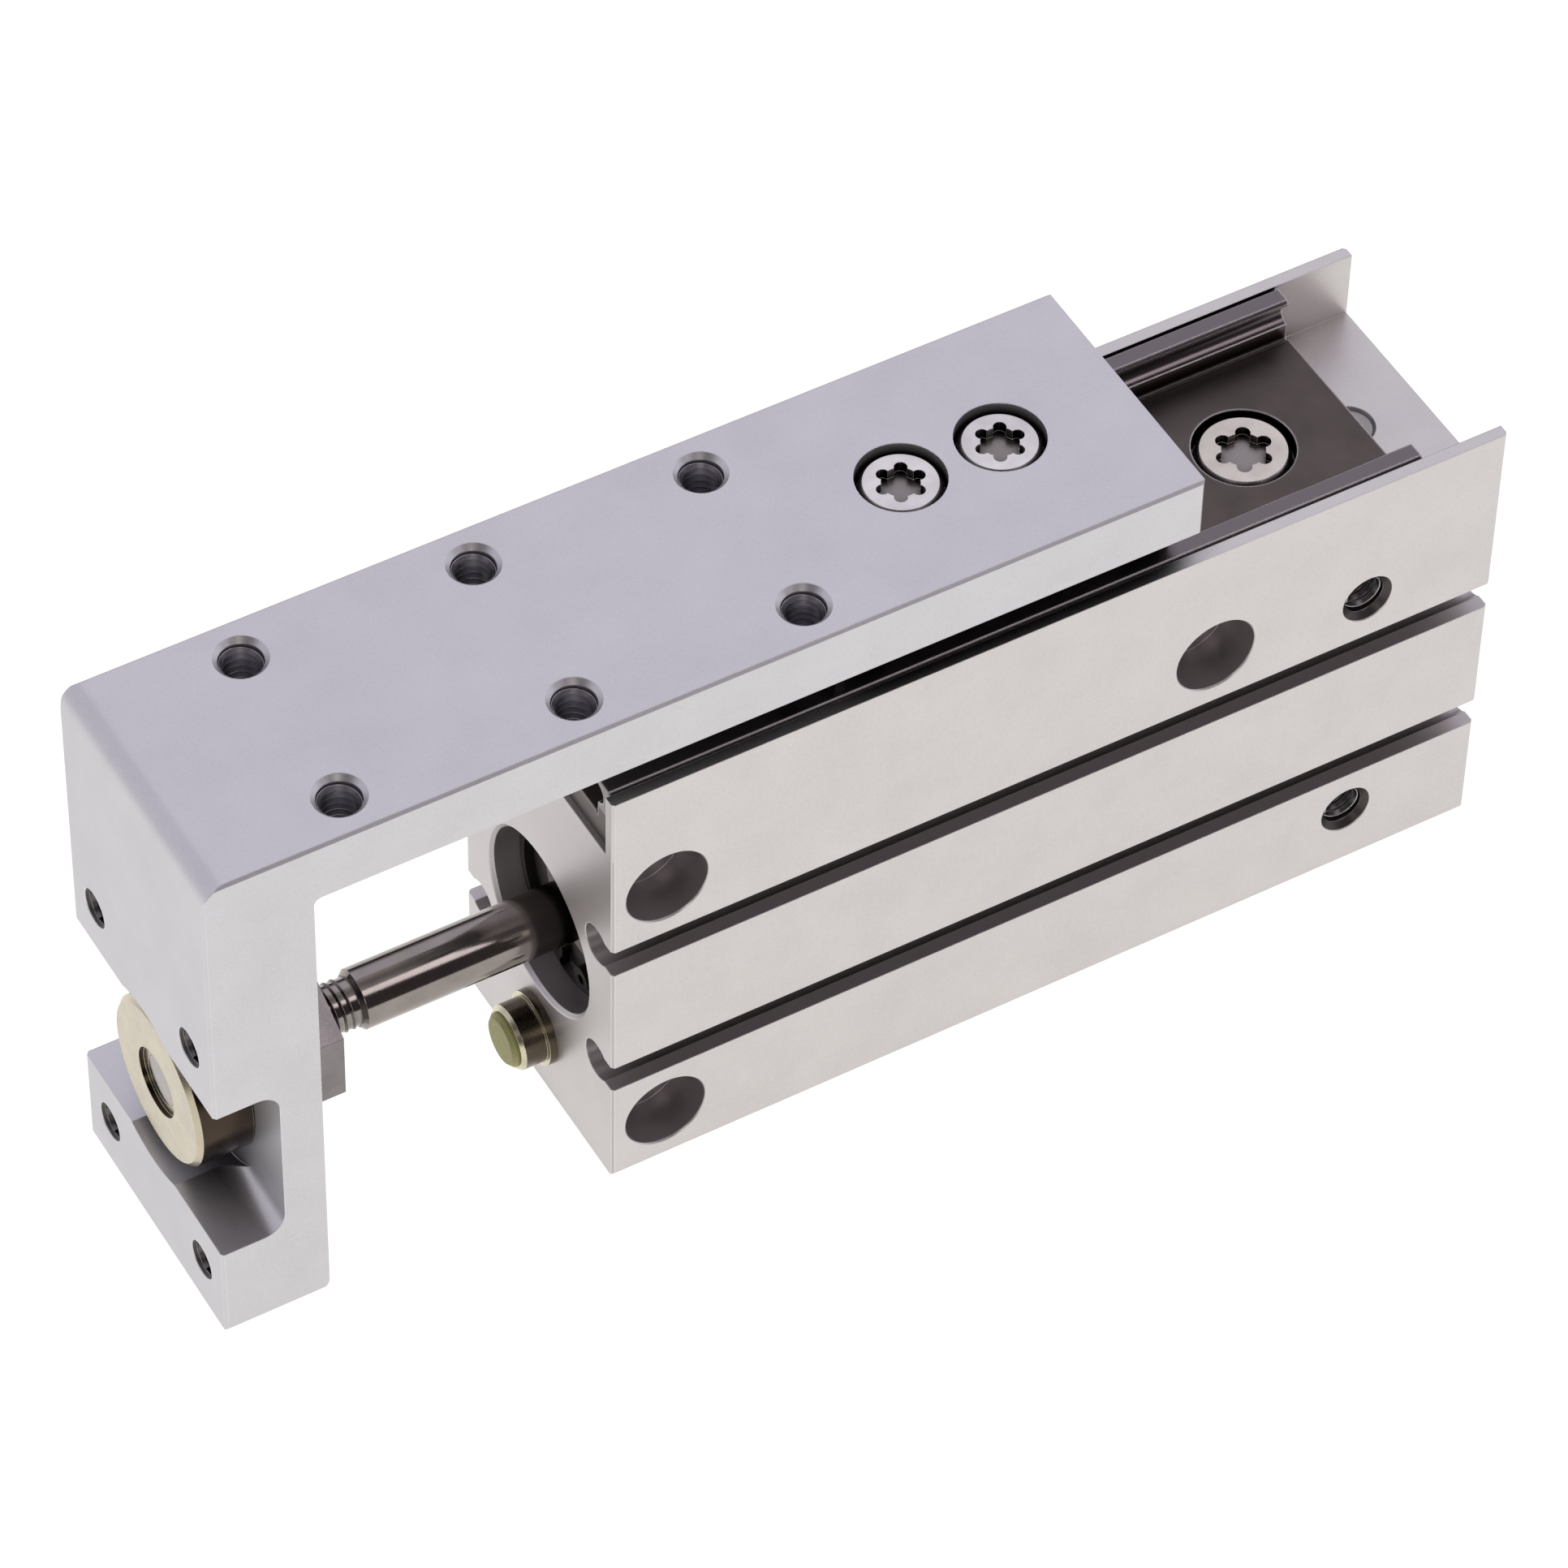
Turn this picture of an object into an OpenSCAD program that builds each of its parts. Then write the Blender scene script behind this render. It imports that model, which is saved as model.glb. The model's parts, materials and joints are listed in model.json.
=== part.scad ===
// Compact pneumatic slide table with a recirculating-ball guide on top of its cylinder.
// +X is the way the table extends, +Y the side with the ports, +Z up.
// The origin is the centre of the base face. All sizes are in millimetres.

/* [Body] */
// Full travel of the table
stroke = 50; // [30:5:70]
// Width of the body
body_w = 28; // [27:0.5:34]
// Height of the cylinder axis above the base; the channel floor lies as far above the axis
axis_z = 22.2; // [21.6:0.1:26]
// Depth of the guide channel
channel_depth = 7.6; // [7:0.1:9]
// Thickness of the channel's side walls
wall_t = 1.25; // [1:0.05:1.6]
// Bevel on the ends of the body
end_bevel = 0.3; // [0.1:0.1:0.6]
// Bevel on the two lower long edges
edge_bevel = 0.4; // [0.2:0.1:0.8]

/* [Cylinder] */
// Diameter of the cylinder bore
bore_d = 16; // [14:0.5:17]
// Step from the bore to the wider mouth that holds the rod cover
mouth_step = 1.3; // [1:0.1:1.5]
// Depth from the body's ends to the retaining rings
ring_recess = 3.1; // [2.5:0.1:4]
// Thickness of the retaining rings
ring_t = 1; // [0.8:0.1:1.2]
// Length of the rod cover
rod_cover_l = 11; // [10:0.5:14]
// Length of the head cover
head_cover_l = 8.95; // [8:0.05:12]
// Length of the piston between its cushions
piston_l = 14; // [13:0.5:18]
// Thickness of each cushion on the piston's faces
cushion_t = 1; // [0.6:0.1:1.5]
// Diameter of the piston rod
rod_d = 6; // [5:0.5:7]
// Core diameter of the two air ports
port_core_d = 4.2; // [3.8:0.1:4.6]
// Depth of the port threads
port_depth = 6; // [5:0.5:6.5]
// Distance between the two ports
port_span = 29.6; // [29:0.1:30.6]

/* [Side slots and mounting holes] */
// Opening of the sensor slots
slot_open = 3.2; // [2.8:0.1:3.6]
// Diameter of the round inside of the sensor slots
slot_d = 4.3; // [4:0.1:4.6]
// Distance between the two sensor slots of one side
slot_span = 16.3; // [15.6:0.1:17]
// Depth of the slot's round centre below the side face
slot_centre_depth = 2.9; // [2.6:0.1:3.2]
// Distance of the front mounting holes from the front face
mount_front = 5.7; // [5.2:0.1:7]
// Distance between the front and rear mounting holes
mount_pitch = 58; // [30:1:66]
// Distance between the upper and lower mounting holes
mount_span = 31.7; // [31.3:0.1:32.6]
// Diameter of the mounting through holes
mount_hole_d = 4.5; // [4:0.1:4.8]
// Diameter of the counterbores
mount_cbore_d = 8.4; // [7.6:0.1:8.6]
// Depth of the counterbores
mount_cbore_depth = 5; // [4:0.5:6]

/* [Guide] */
// Thickness of the guide rail's base
rail_base_t = 3; // [2.6:0.1:3.4]
// Thickness of the guide rail's walls
rail_wall_t = 2.15; // [2:0.05:2.6]
// Distance of the rail from the body's front face
rail_front_gap = 0.5; // [0.2:0.1:2]
// Distance of the rail from the body's rear face
rail_rear_gap = 8.5; // [7:0.5:10]
// Distance of the outer rail screws from the rail's ends
rail_screw_end = 11.2; // [9:0.2:12]
// Longest distance between rail screws
rail_screw_pitch = 32; // [20:0.5:35]
// Diameter of the guide balls
ball_d = 2.38; // [2:0.02:2.6]
// Height of the ball row above the rail's base
ball_rise = 2.8; // [2.2:0.1:3]
// Length of the steel guide block
block_l = 25; // [21:0.5:25]
// Thickness of the block's end caps
cap_t = 4.2; // [4:0.1:4.4]
// Thickness of the scraper plates outside the end caps
scraper_t = 0.8; // [0.5:0.1:0.8]

/* [Table] */
// Thickness of the table
table_t = 6.6; // [6:0.1:9]
// How far the table is narrower than the body on each side
table_inset = 0.3; // [0.1:0.1:1]
// Height of the table's underside above the channel walls
table_clear = 3.7; // [3:0.1:6]
// Distance from the body's rear face to the table's rear edge with the table in
table_rear_gap = 8.1; // [7.9:0.1:12]
// Thickness of the end plate
plate_t = 10.7; // [10:0.1:14]
// Height of the end plate's lower edge above the base face
plate_lift = 1.45; // [0.6:0.05:3]
// Bevel on the table's outer edges
table_bevel = 0.3; // [0.1:0.1:0.6]
// Radius along the table's upper front edge
nose_r = 2.4; // [1:0.1:3.5]
// Distance of the first row of table holes from the end plate's front face
hole_first = 15.7; // [14:0.1:20]
// Distance between the rows of table holes
hole_pitch = 23.2; // [18:0.1:26]
// Distance between the two holes of a row
hole_span = 18.5; // [16:0.1:20]
// Core diameter of the table's threaded holes
hole_core_d = 4.2; // [3:0.1:4.4]
// Distance between the end plate's threaded holes, across
plate_hole_y = 18.5; // [17:0.1:20]
// Distance between the end plate's threaded holes, up and down
plate_hole_z = 30.2; // [29:0.1:31]
// Core diameter of the end plate's threaded holes
plate_hole_core_d = 3.3; // [2.4:0.1:3.4]
// Depth of the end plate's threaded holes
plate_hole_depth = 8; // [5:0.5:9]
// Height of the notch across the end plate
notch_h = 19.4; // [18:0.2:20.4]
// Depth of the notch
notch_depth = 6.5; // [6:0.1:7.4]
// Diameter of the round pocket for the rod nut
pocket_d = 21.2; // [20.6:0.2:22]
// Distance between the two table screws
table_screw_pitch = 10.4; // [9.5:0.1:14]

/* [Rod end and stop] */
// How far the table stands out from its inner end
shown_out = 25.2; // [0:0.2:49]
// How far the stop pad stands out of the body
stop_out = 4.2; // [3:0.1:6]
// Diameter of the stop bolt's head
stop_d = 6.6; // [5.5:0.1:7]
// Height of the stop bolt above the base
stop_z = 7.4; // [6.5:0.1:8]
// Diameter of the round rod nut
nut_d = 16.8; // [14:0.2:17.6]
// Thickness of the round rod nut
nut_t = 5.6; // [4:0.1:5.7]
// Width across flats of the lock nut behind the end plate
lock_nut_af = 13; // [10:0.5:14]
// Thickness of the lock nut
lock_nut_t = 5.8; // [4:0.1:6.4]
// Length of the neck between the lock nut and the rod
neck_l = 4; // [4:0.1:7]

/* [Hidden] */

$fn = 72;
eps = 0.5;            // overrun of a cutting shape past the face it opens
fit = 0.02;           // radial gap between pieces that are fixed together
run = 0.04;           // radial gap of a running fit
end_gap = 0.1;        // axial gap left at both ends of the travel
seat = 0.05;          // axial gap between a piece and its seat

// heights
floor_z = 2 * axis_z;
wall_top = floor_z + channel_depth;
table_under = wall_top + table_clear;
table_top = table_under + table_t;

// cylinder, as distances behind the front face
mouth_d = bore_d + 2 * mouth_step;
cover_front = ring_recess + ring_t + seat;
cover_end = cover_front + rod_cover_l + seat;
piston_full = piston_l + 2 * cushion_t;
head_face = cover_end + piston_full + stroke + 2 * end_gap;
body_l = head_face + head_cover_l + seat + ring_t + ring_recess;
front = body_l / 2;
function at(d) = front - d;

// air passages
gallery_d = 2;
gallery_z = axis_z + (mount_span - mount_hole_d - gallery_d) / 2 - 0.5;
feed_z = axis_z + (port_span - port_core_d + gallery_d) / 2 + 0.05;
feed_front = cover_end + gallery_d / 2 + 0.3;
feed_rear = head_face - gallery_d / 2;
plug_d = 3;
rail_plug_d = 4.6;

// guide
rail_half = body_w / 2 - wall_t - 0.15;
rail_in = rail_half - rail_wall_t;
rail_floor = floor_z + rail_base_t;
rail_l = body_l - rail_front_gap - rail_rear_gap;
block_half = rail_in - 0.4;
block_bottom = rail_floor + 0.4;
row_y = rail_in - 0.2;
row_z = rail_floor + ball_rise;
turn_r = 0.757 * ball_d;
return_y = row_y - 2 * turn_r;
groove_d = ball_d + 2 * run;
screw_d = 4;
rail_head_d = 9.1;
rail_head_t = 1.9;
rail_cbore_depth = rail_head_t + 0.25;
rail_screw_n = ceil((rail_l - 2 * rail_screw_end) / rail_screw_pitch) + 1;
rail_screw_step = (rail_l - 2 * rail_screw_end) / (rail_screw_n - 1);
rail_screw_l = 4.5;
loop_l = 2 * block_l + 2 * PI * turn_r;
ball_n = floor(loop_l / (1.1 * ball_d));

// table, placed by how far it stands out
plate_back = front + stop_out + shown_out;
plate_front = plate_back + plate_t;
table_half = body_w / 2 - table_inset;
table_rear = plate_back - (stop_out + body_l - table_rear_gap);
block_inset = 1.1;
block_rear = table_rear + block_inset;
guide_l = block_l + 2 * (cap_t + scraper_t);
block_mid = block_rear + guide_l / 2;
hole_rows = floor((plate_front - hole_first - block_rear - guide_l) / hole_pitch) + 1;
table_head_d = 7.8;
table_head_t = 2.2;
table_cbore_d = 8.6;
table_cbore_depth = 2.8;
block_thread_l = 5;
cap_screw_d = 1.6;
cap_screw_l = 2.4;
cap_head_d = 3;
cap_head_t = 0.9;
cap_slot_w = 0.4;
cap_screw_y = 2.6;
cap_screw_z = (block_bottom + table_under) / 2;

// head cover's rear recess and O-ring groove, then the rod cover's bush and seals
head_recess_d = 8;
head_recess_depth = 4;
head_groove_at = 3.4;
bush_l = 5;
bush_t = 1;
seal_gland_at = 2.6;
seal_gland_w = 2.6;
cover_groove_at = 3.4;
groove_w = 1.9;
groove_depth = 1.2;
cord_d = 1.5;
cover_bevel = 0.6;

// rod end and stop
stop_shank_l = 2.4;
web_front = plate_front - notch_depth;
nut_back = web_front + 0.1;
lock_nut_front = plate_back - 0.1;
lock_nut_back = lock_nut_front - lock_nut_t;
rod_front = lock_nut_back - neck_l;
nut_mouth_d = 7;
nut_mouth_depth = 0.5;
thread_d = 5;
neck_d = 0.8 * rod_d;

// piston, placed by how far the table stands out
piston_back = at(head_face - end_gap - cushion_t) + shown_out;
piston_front = piston_back + piston_l;
piston_d = bore_d - 0.2;
spigot_d = 4;
piston_nut_t = 2.4;
piston_nut_af = 7;
nut_recess_d = 9;

// grooves on the piston, as distances from its front face
magnet_at = 1.6;
magnet_w = 3.2;
magnet_floor_d = piston_d - 5;
magnet_d = piston_d - 0.6;
seal_at = 6.4;
seal_w = 2.6;
seal_floor_d = piston_d - 4.2;
wear_at = 10.6;
wear_w = 2;
wear_floor_d = piston_d - 2;

// a round bar along X, from x0 to x1
module bar(x0, x1, d, y = 0, z = axis_z) {
    translate([x0, y, z]) rotate([0, 90, 0]) cylinder(h = x1 - x0, d = d);
}

// a cone along X, from diameter d0 at x0 to d1 at x1
module cone(x0, x1, d0, d1, y = 0, z = axis_z) {
    translate([x0, y, z]) rotate([0, 90, 0]) cylinder(h = x1 - x0, d1 = d0, d2 = d1);
}

// a tube along X
module tube(x0, x1, outer, inner) {
    difference() {
        bar(x0, x1, outer);
        bar(x0 - eps, x1 + eps, inner);
    }
}

// a drilling from the port side, ending at y_end
module side_drill(d, z, dia, y_end) {
    depth = body_w / 2 - y_end;
    translate([at(d), body_w / 2 + eps, z]) rotate([90, 0, 0]) cylinder(h = depth + eps, d = dia);
}

// a 45 degree countersink on a drilling from the port side
module side_sink(d, z, dia, depth) {
    translate([at(d), body_w / 2 + eps, z]) rotate([90, 0, 0])
        cylinder(h = depth + eps, d1 = dia + 2 * (depth + eps), d2 = dia);
}

// what a rounding of radius r takes off a corner at the origin whose sides run along +x and +y
module corner_cut(r) {
    difference() {
        translate([-eps, -eps]) square(r + eps);
        translate([r, r]) circle(r);
    }
}

// a section drawn with y across and z up, extruded along X from x0 to x1
module section(x0, x1) {
    translate([x0, 0, 0]) rotate([90, 0, 90]) linear_extrude(x1 - x0) children();
}

// a section drawn with x along and z up, extruded across the table's width
module side_profile(half) {
    translate([0, half, 0]) rotate([90, 0, 0]) linear_extrude(2 * half) children();
}

// a star recess with six round lobes, cut down from height z
module star_recess(z, d, depth) {
    lobe = d / 4;
    translate([0, 0, z - depth]) {
        cylinder(h = depth + eps, d = 0.72 * d);
        for (i = [0:5]) {
            rotate([0, 0, 60 * i]) translate([d / 2 - lobe / 2, 0, 0]) cylinder(h = depth + eps, d = lobe);
        }
    }
}

// a screw standing on end: low head of diameter d from z up, shank below it
module low_screw(z, d, t, shank_d, shank_l) {
    difference() {
        union() {
            translate([0, 0, z]) cylinder(h = t - 0.4, d = d);
            translate([0, 0, z + t - 0.4]) cylinder(h = 0.4, d1 = d, d2 = d - 0.8);
            translate([0, 0, z - shank_l]) cylinder(h = shank_l + 0.1, d = shank_d);
        }
        star_recess(z + t, 0.64 * d, 0.5 * t);
    }
}

// an inner retaining ring with a gap below and two ears with plier holes
module retaining_ring(x0, outer) {
    inner = outer - 2.6;
    ear_d = 2.6;
    ear_r = outer / 2 - 1.9;
    section(x0, x0 + ring_t) {
        translate([0, axis_z]) {
            difference() {
                circle(d = outer);
                circle(d = inner);
                translate([-1.6, -outer]) square([3.2, outer]);
            }
            for (a = [-18, 18]) {
                rotate(a) translate([0, -ear_r]) difference() {
                    circle(d = ear_d);
                    circle(d = 1.1, $fn = 24);
                }
            }
        }
    }
}

// the outline of the extruded body: base block, channel and sensor slots
module body_outline() {
    half = body_w / 2;
    difference() {
        polygon([
            [-half + edge_bevel, 0], [half - edge_bevel, 0], [half, edge_bevel],
            [half, wall_top], [half - wall_t, wall_top], [half - wall_t, floor_z],
            [-half + wall_t, floor_z], [-half + wall_t, wall_top], [-half, wall_top],
            [-half, edge_bevel]
        ]);
        for (side = [-1, 1], row = [-1, 1]) {
            translate([side * (half - slot_centre_depth), axis_z + row * slot_span / 2]) circle(d = slot_d);
            translate([side * half - slot_centre_depth, axis_z + row * slot_span / 2 - slot_open / 2])
                square([2 * slot_centre_depth, slot_open]);
        }
    }
}

// the plan of the body, bevelled at its four upright edges
module body_plan() {
    half = body_w / 2;
    polygon([
        [-front + end_bevel, -half], [front - end_bevel, -half], [front, -half + end_bevel],
        [front, half - end_bevel], [front - end_bevel, half], [-front + end_bevel, half],
        [-front, half - end_bevel], [-front, -half + end_bevel]
    ]);
}

// bore, wide mouth and the grooves of both retaining rings
module cylinder_bores() {
    bar(at(body_l) - eps, front + eps, bore_d);
    bar(at(cover_end), front + eps, mouth_d);
    cone(at(0.4), front + eps, mouth_d, mouth_d + 2 * (0.4 + eps));
    bar(at(cover_front), at(ring_recess), mouth_d + 1.1);
    bar(at(body_l - ring_recess), at(body_l - ring_recess - ring_t - seat), bore_d + 1.1);
    cone(at(body_l) - eps, at(body_l) + 0.3, bore_d + 2 * (0.3 + eps), bore_d);
}

// ports, the drilled passages that lead them to the two ends of the bore, and their plug seats
module air_passages() {
    for (side = [-1, 1]) {
        z = axis_z + side * port_span / 2;
        side_drill(feed_rear, z, port_core_d, body_w / 2 - port_depth);
        side_sink(feed_rear, z, port_core_d, 0.7);
        translate([at(feed_rear), body_w / 2 - port_depth + 0.1, axis_z + side * (feed_z - axis_z)])
            rotate([90, 0, 0]) cylinder(h = (body_w + gallery_d) / 2 - port_depth + 0.1, d = gallery_d);
    }
    bar(at(body_l) - eps, at(cover_end), gallery_d, 0, gallery_z);
    bar(at(body_l) - eps, at(body_l) + plug_d + 0.3, plug_d, 0, gallery_z);
    translate([at(feed_rear), 0, -eps]) cylinder(h = axis_z + eps, d = gallery_d);
    translate([at(feed_rear), 0, -eps]) cylinder(h = plug_d + 0.3 + eps, d = plug_d);
    translate([at(feed_front), 0, axis_z]) cylinder(h = axis_z + eps, d = gallery_d);
    translate([at(feed_front), 0, floor_z - plug_d]) cylinder(h = plug_d + eps, d = plug_d);
    translate([at(body_l) + rail_rear_gap - 0.6, 0, gallery_z]) cylinder(h = axis_z, d = gallery_d);
    translate([at(body_l) + rail_rear_gap - 0.6, 0, floor_z]) {
        translate([0, 0, -2]) cylinder(h = 2 + eps, d = rail_plug_d);
        translate([0, 0, -0.3]) cylinder(h = 0.3 + eps, d1 = rail_plug_d, d2 = rail_plug_d + 0.6 + 2 * eps);
    }
}

// counterbored through holes for mounting the body by its side
module mounting_holes() {
    for (place = [
        [mount_front, axis_z + mount_span / 2],
        [mount_front, axis_z - mount_span / 2],
        [mount_front + mount_pitch, axis_z + mount_span / 2]
    ]) {
        side_drill(place[0], place[1], mount_hole_d, -body_w / 2 - eps);
        side_drill(place[0], place[1], mount_cbore_d, body_w / 2 - mount_cbore_depth);
        side_sink(place[0], place[1], mount_cbore_d, 0.15);
        translate([at(place[0]), -body_w / 2 - eps, place[1]]) rotate([-90, 0, 0])
            cylinder(h = 0.4 + eps, d1 = mount_hole_d + 2 * (0.4 + eps), d2 = mount_hole_d);
    }
}

// where each rail screw stands, along X
function rail_screw_x(i) = at(rail_front_gap + rail_screw_end + i * rail_screw_step);

module cylinder_body() {
    color("#c9c6c8") difference() {
        intersection() {
            section(-front, front) body_outline();
            translate([0, 0, -eps]) linear_extrude(wall_top + 2 * eps) body_plan();
        }
        cylinder_bores();
        air_passages();
        mounting_holes();
        bar(at(stop_shank_l + 0.2), front + eps, thread_d + 2 * fit, 0, stop_z);
        for (i = [0:rail_screw_n - 1]) {
            translate([rail_screw_x(i), 0, floor_z - rail_screw_l - 0.4])
                cylinder(h = rail_screw_l + eps + 0.4, d = screw_d + 2 * fit);
        }
    }
}

module rail_outline() {
    bevel = 0.3;
    relief = 0.5;
    difference() {
        polygon([
            [-rail_half, floor_z], [rail_half, floor_z], [rail_half, wall_top - bevel],
            [rail_half - bevel, wall_top], [rail_in + bevel, wall_top], [rail_in, wall_top - bevel],
            [rail_in, rail_floor], [-rail_in, rail_floor], [-rail_in, wall_top - bevel],
            [-rail_in - bevel, wall_top], [-rail_half + bevel, wall_top], [-rail_half, wall_top - bevel]
        ]);
        for (side = [-1, 1]) {
            translate([side * row_y, row_z]) circle(d = groove_d);
            translate([side * (rail_in - relief / 2), rail_floor]) circle(d = relief);
        }
    }
}

module guide_rail() {
    color("#5a5250") difference() {
        section(at(rail_front_gap + rail_l), at(rail_front_gap)) rail_outline();
        for (i = [0:rail_screw_n - 1]) {
            translate([rail_screw_x(i), 0, 0]) {
                translate([0, 0, floor_z - eps]) cylinder(h = rail_base_t + 2 * eps, d = screw_d + 0.4);
                translate([0, 0, rail_floor - rail_cbore_depth])
                    cylinder(h = rail_cbore_depth + eps, d = rail_head_d + 0.8);
            }
        }
    }
}

module rail_screws() {
    z = rail_floor - rail_cbore_depth;
    color("#b9b4ac") for (i = [0:rail_screw_n - 1]) {
        translate([rail_screw_x(i), 0, 0])
            low_screw(z, rail_head_d, rail_head_t, screw_d, z - floor_z + rail_screw_l);
    }
}

module rod_cover() {
    x0 = at(cover_end - seat);
    x1 = at(cover_front);
    color("#4b4a4c") difference() {
        bar(x0, x1, mouth_d - 2 * fit);
        bar(x0 - eps, x1 + eps, rod_d + 0.3);
        cone(x1 - 1, x1 + eps, rod_d + 2, rod_d + 2 + 4 * (1 + eps));
        // seat of the bush and groove of the rod seal
        bar(x0 - eps, x0 + bush_l, rod_d + 2 * bush_t + 2 * fit);
        bar(x1 - seal_gland_at - seal_gland_w, x1 - seal_gland_at, rod_d + 4);
        // groove of the O-ring
        difference() {
            bar(x0 + cover_groove_at, x0 + cover_groove_at + groove_w, mouth_d + 1);
            bar(x0 + cover_groove_at - eps, x0 + cover_groove_at + groove_w + eps, mouth_d - 2 * groove_depth);
        }
    }
}

module rod_bush() {
    x0 = at(cover_end - seat);
    color("#a08355") tube(x0, x0 + bush_l - seat, rod_d + 2 * bush_t, rod_d + 2 * run);
}

module rod_seal() {
    x0 = at(cover_front) - seal_gland_at - seal_gland_w + seat;
    color("#262626") difference() {
        tube(x0, x0 + seal_gland_w - 2 * seat, rod_d + 4 - 2 * fit, rod_d + 2 * run);
        difference() {
            bar(x0 - eps, x0 + 1.1, rod_d + 2.8);
            bar(x0 - 2 * eps, x0 + 1.1 + eps, rod_d + 1.4);
        }
    }
}

// an O-ring of the given cord, lying in a groove round the cylinder axis
module o_ring(x_mid, inner_d) {
    translate([x_mid, 0, axis_z]) rotate([0, 90, 0])
        rotate_extrude() translate([inner_d / 2 + cord_d / 2, 0]) circle(d = cord_d, $fn = 32);
}

// the cord is flattened by the bore wall
module seated_o_ring(x_mid, inner_d, outer_d) {
    color("#202020") intersection() {
        o_ring(x_mid, inner_d);
        bar(x_mid - cord_d, x_mid + cord_d, outer_d);
    }
}

module rod_cover_o_ring() {
    seated_o_ring(at(cover_end - seat) + cover_groove_at + groove_w / 2,
        mouth_d - 2 * groove_depth + 2 * fit, mouth_d - 2 * fit);
}

module front_retaining_ring() {
    color("#6d6a68") retaining_ring(at(ring_recess + ring_t), mouth_d + 1);
}

module head_cover() {
    x0 = at(head_face + head_cover_l);
    x1 = at(head_face);
    color("#8d8c8f") difference() {
        bar(x0, x1, bore_d - 2 * fit);
        bar(x0 - eps, x0 + head_recess_depth, head_recess_d);
        cone(x0 - eps, x0 + cover_bevel, head_recess_d + 2 * (cover_bevel + eps), head_recess_d);
        difference() {
            bar(x1 - head_groove_at - groove_w, x1 - head_groove_at, bore_d + 1);
            bar(x1 - head_groove_at - groove_w - eps, x1 - head_groove_at + eps, bore_d - 2 * groove_depth);
        }
    }
}

module head_cover_o_ring() {
    seated_o_ring(at(head_face) - head_groove_at - groove_w / 2, bore_d - 2 * groove_depth + 2 * fit,
        bore_d - 2 * fit);
}

module rear_retaining_ring() {
    color("#6d6a68") retaining_ring(at(body_l - ring_recess), bore_d + 1);
}

// screwed into the front face, with a flange against it and a cup for the pad
module stop_bolt() {
    color("#c7bf7e") difference() {
        union() {
            bar(at(stop_shank_l), front, thread_d, 0, stop_z);
            bar(front, front + 0.9, stop_d + 1, 0, stop_z);
            bar(front, front + stop_out - 1.1, stop_d, 0, stop_z);
            cone(front + stop_out - 1.1, front + stop_out - 0.7, stop_d, stop_d - 0.6, 0, stop_z);
        }
        bar(front + stop_out - 2.2, front + stop_out + eps, stop_d - 1.1, 0, stop_z);
    }
}

module stop_pad() {
    pad_d = stop_d - 1.1 - 2 * fit;
    tip = front + stop_out - seat;
    color("#8f9a4f") union() {
        bar(front + stop_out - 2.2 + seat, tip - 0.4, pad_d, 0, stop_z);
        cone(tip - 0.4, tip, pad_d, pad_d - 0.8, 0, stop_z);
    }
}

module gallery_plugs() {
    color("#9a9896") {
        translate([at(body_l) + plug_d / 2 + 0.3, 0, gallery_z]) sphere(d = plug_d - 2 * fit, $fn = 32);
        translate([at(feed_rear), 0, plug_d / 2 + 0.3]) sphere(d = plug_d - 2 * fit, $fn = 32);
        translate([at(feed_front), 0, floor_z - plug_d / 2 - 0.1]) sphere(d = plug_d - 2 * fit, $fn = 32);
        translate([at(body_l) + rail_rear_gap - 0.6, 0, floor_z - 2 + seat])
            cylinder(h = 1.65, d = rail_plug_d - 2 * fit);
    }
}

// side view of the L: table, end plate, rounded nose and the notch for the rod nut
module table_profile() {
    inner_r = 0.8;
    toe_r = 1.2;
    notch_r = 2.2;
    difference() {
        polygon([
            [table_rear, table_under], [plate_back, table_under], [plate_back, plate_lift],
            [plate_front, plate_lift], [plate_front, table_top], [table_rear, table_top]
        ]);
        translate([plate_front, table_top]) rotate(180) corner_cut(nose_r);
        translate([plate_back, plate_lift]) corner_cut(toe_r);
        difference() {
            translate([web_front, axis_z - notch_h / 2]) square([notch_depth + eps, notch_h]);
            translate([web_front, axis_z - notch_h / 2]) corner_cut(notch_r);
            translate([web_front, axis_z + notch_h / 2]) rotate(-90) corner_cut(notch_r);
        }
    }
    translate([plate_back, table_under]) rotate(180) corner_cut(inner_r);
}

// the table as seen from the front and from above, with its outer edges bevelled
module table_front() {
    y = table_half;
    b = table_bevel;
    polygon([
        [-y + b, plate_lift], [y - b, plate_lift], [y, plate_lift + b], [y, table_top - b],
        [y - b, table_top], [-y + b, table_top], [-y, table_top - b], [-y, plate_lift + b]
    ]);
}

module table_plan() {
    y = table_half;
    b = table_bevel;
    polygon([
        [table_rear + b, -y], [plate_front - b, -y], [plate_front, -y + b], [plate_front, y - b],
        [plate_front - b, y], [table_rear + b, y], [table_rear, y - b], [table_rear, -y + b]
    ]);
}

// a threaded hole's core with its countersink, opening at the origin towards +Z
module tapped(core_d, sink_d, depth) {
    sink = (sink_d - core_d) / 2;
    translate([0, 0, -depth]) cylinder(h = depth + eps, d = core_d);
    translate([0, 0, -sink]) cylinder(h = sink + eps, d1 = core_d, d2 = sink_d + 2 * eps);
}

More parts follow.
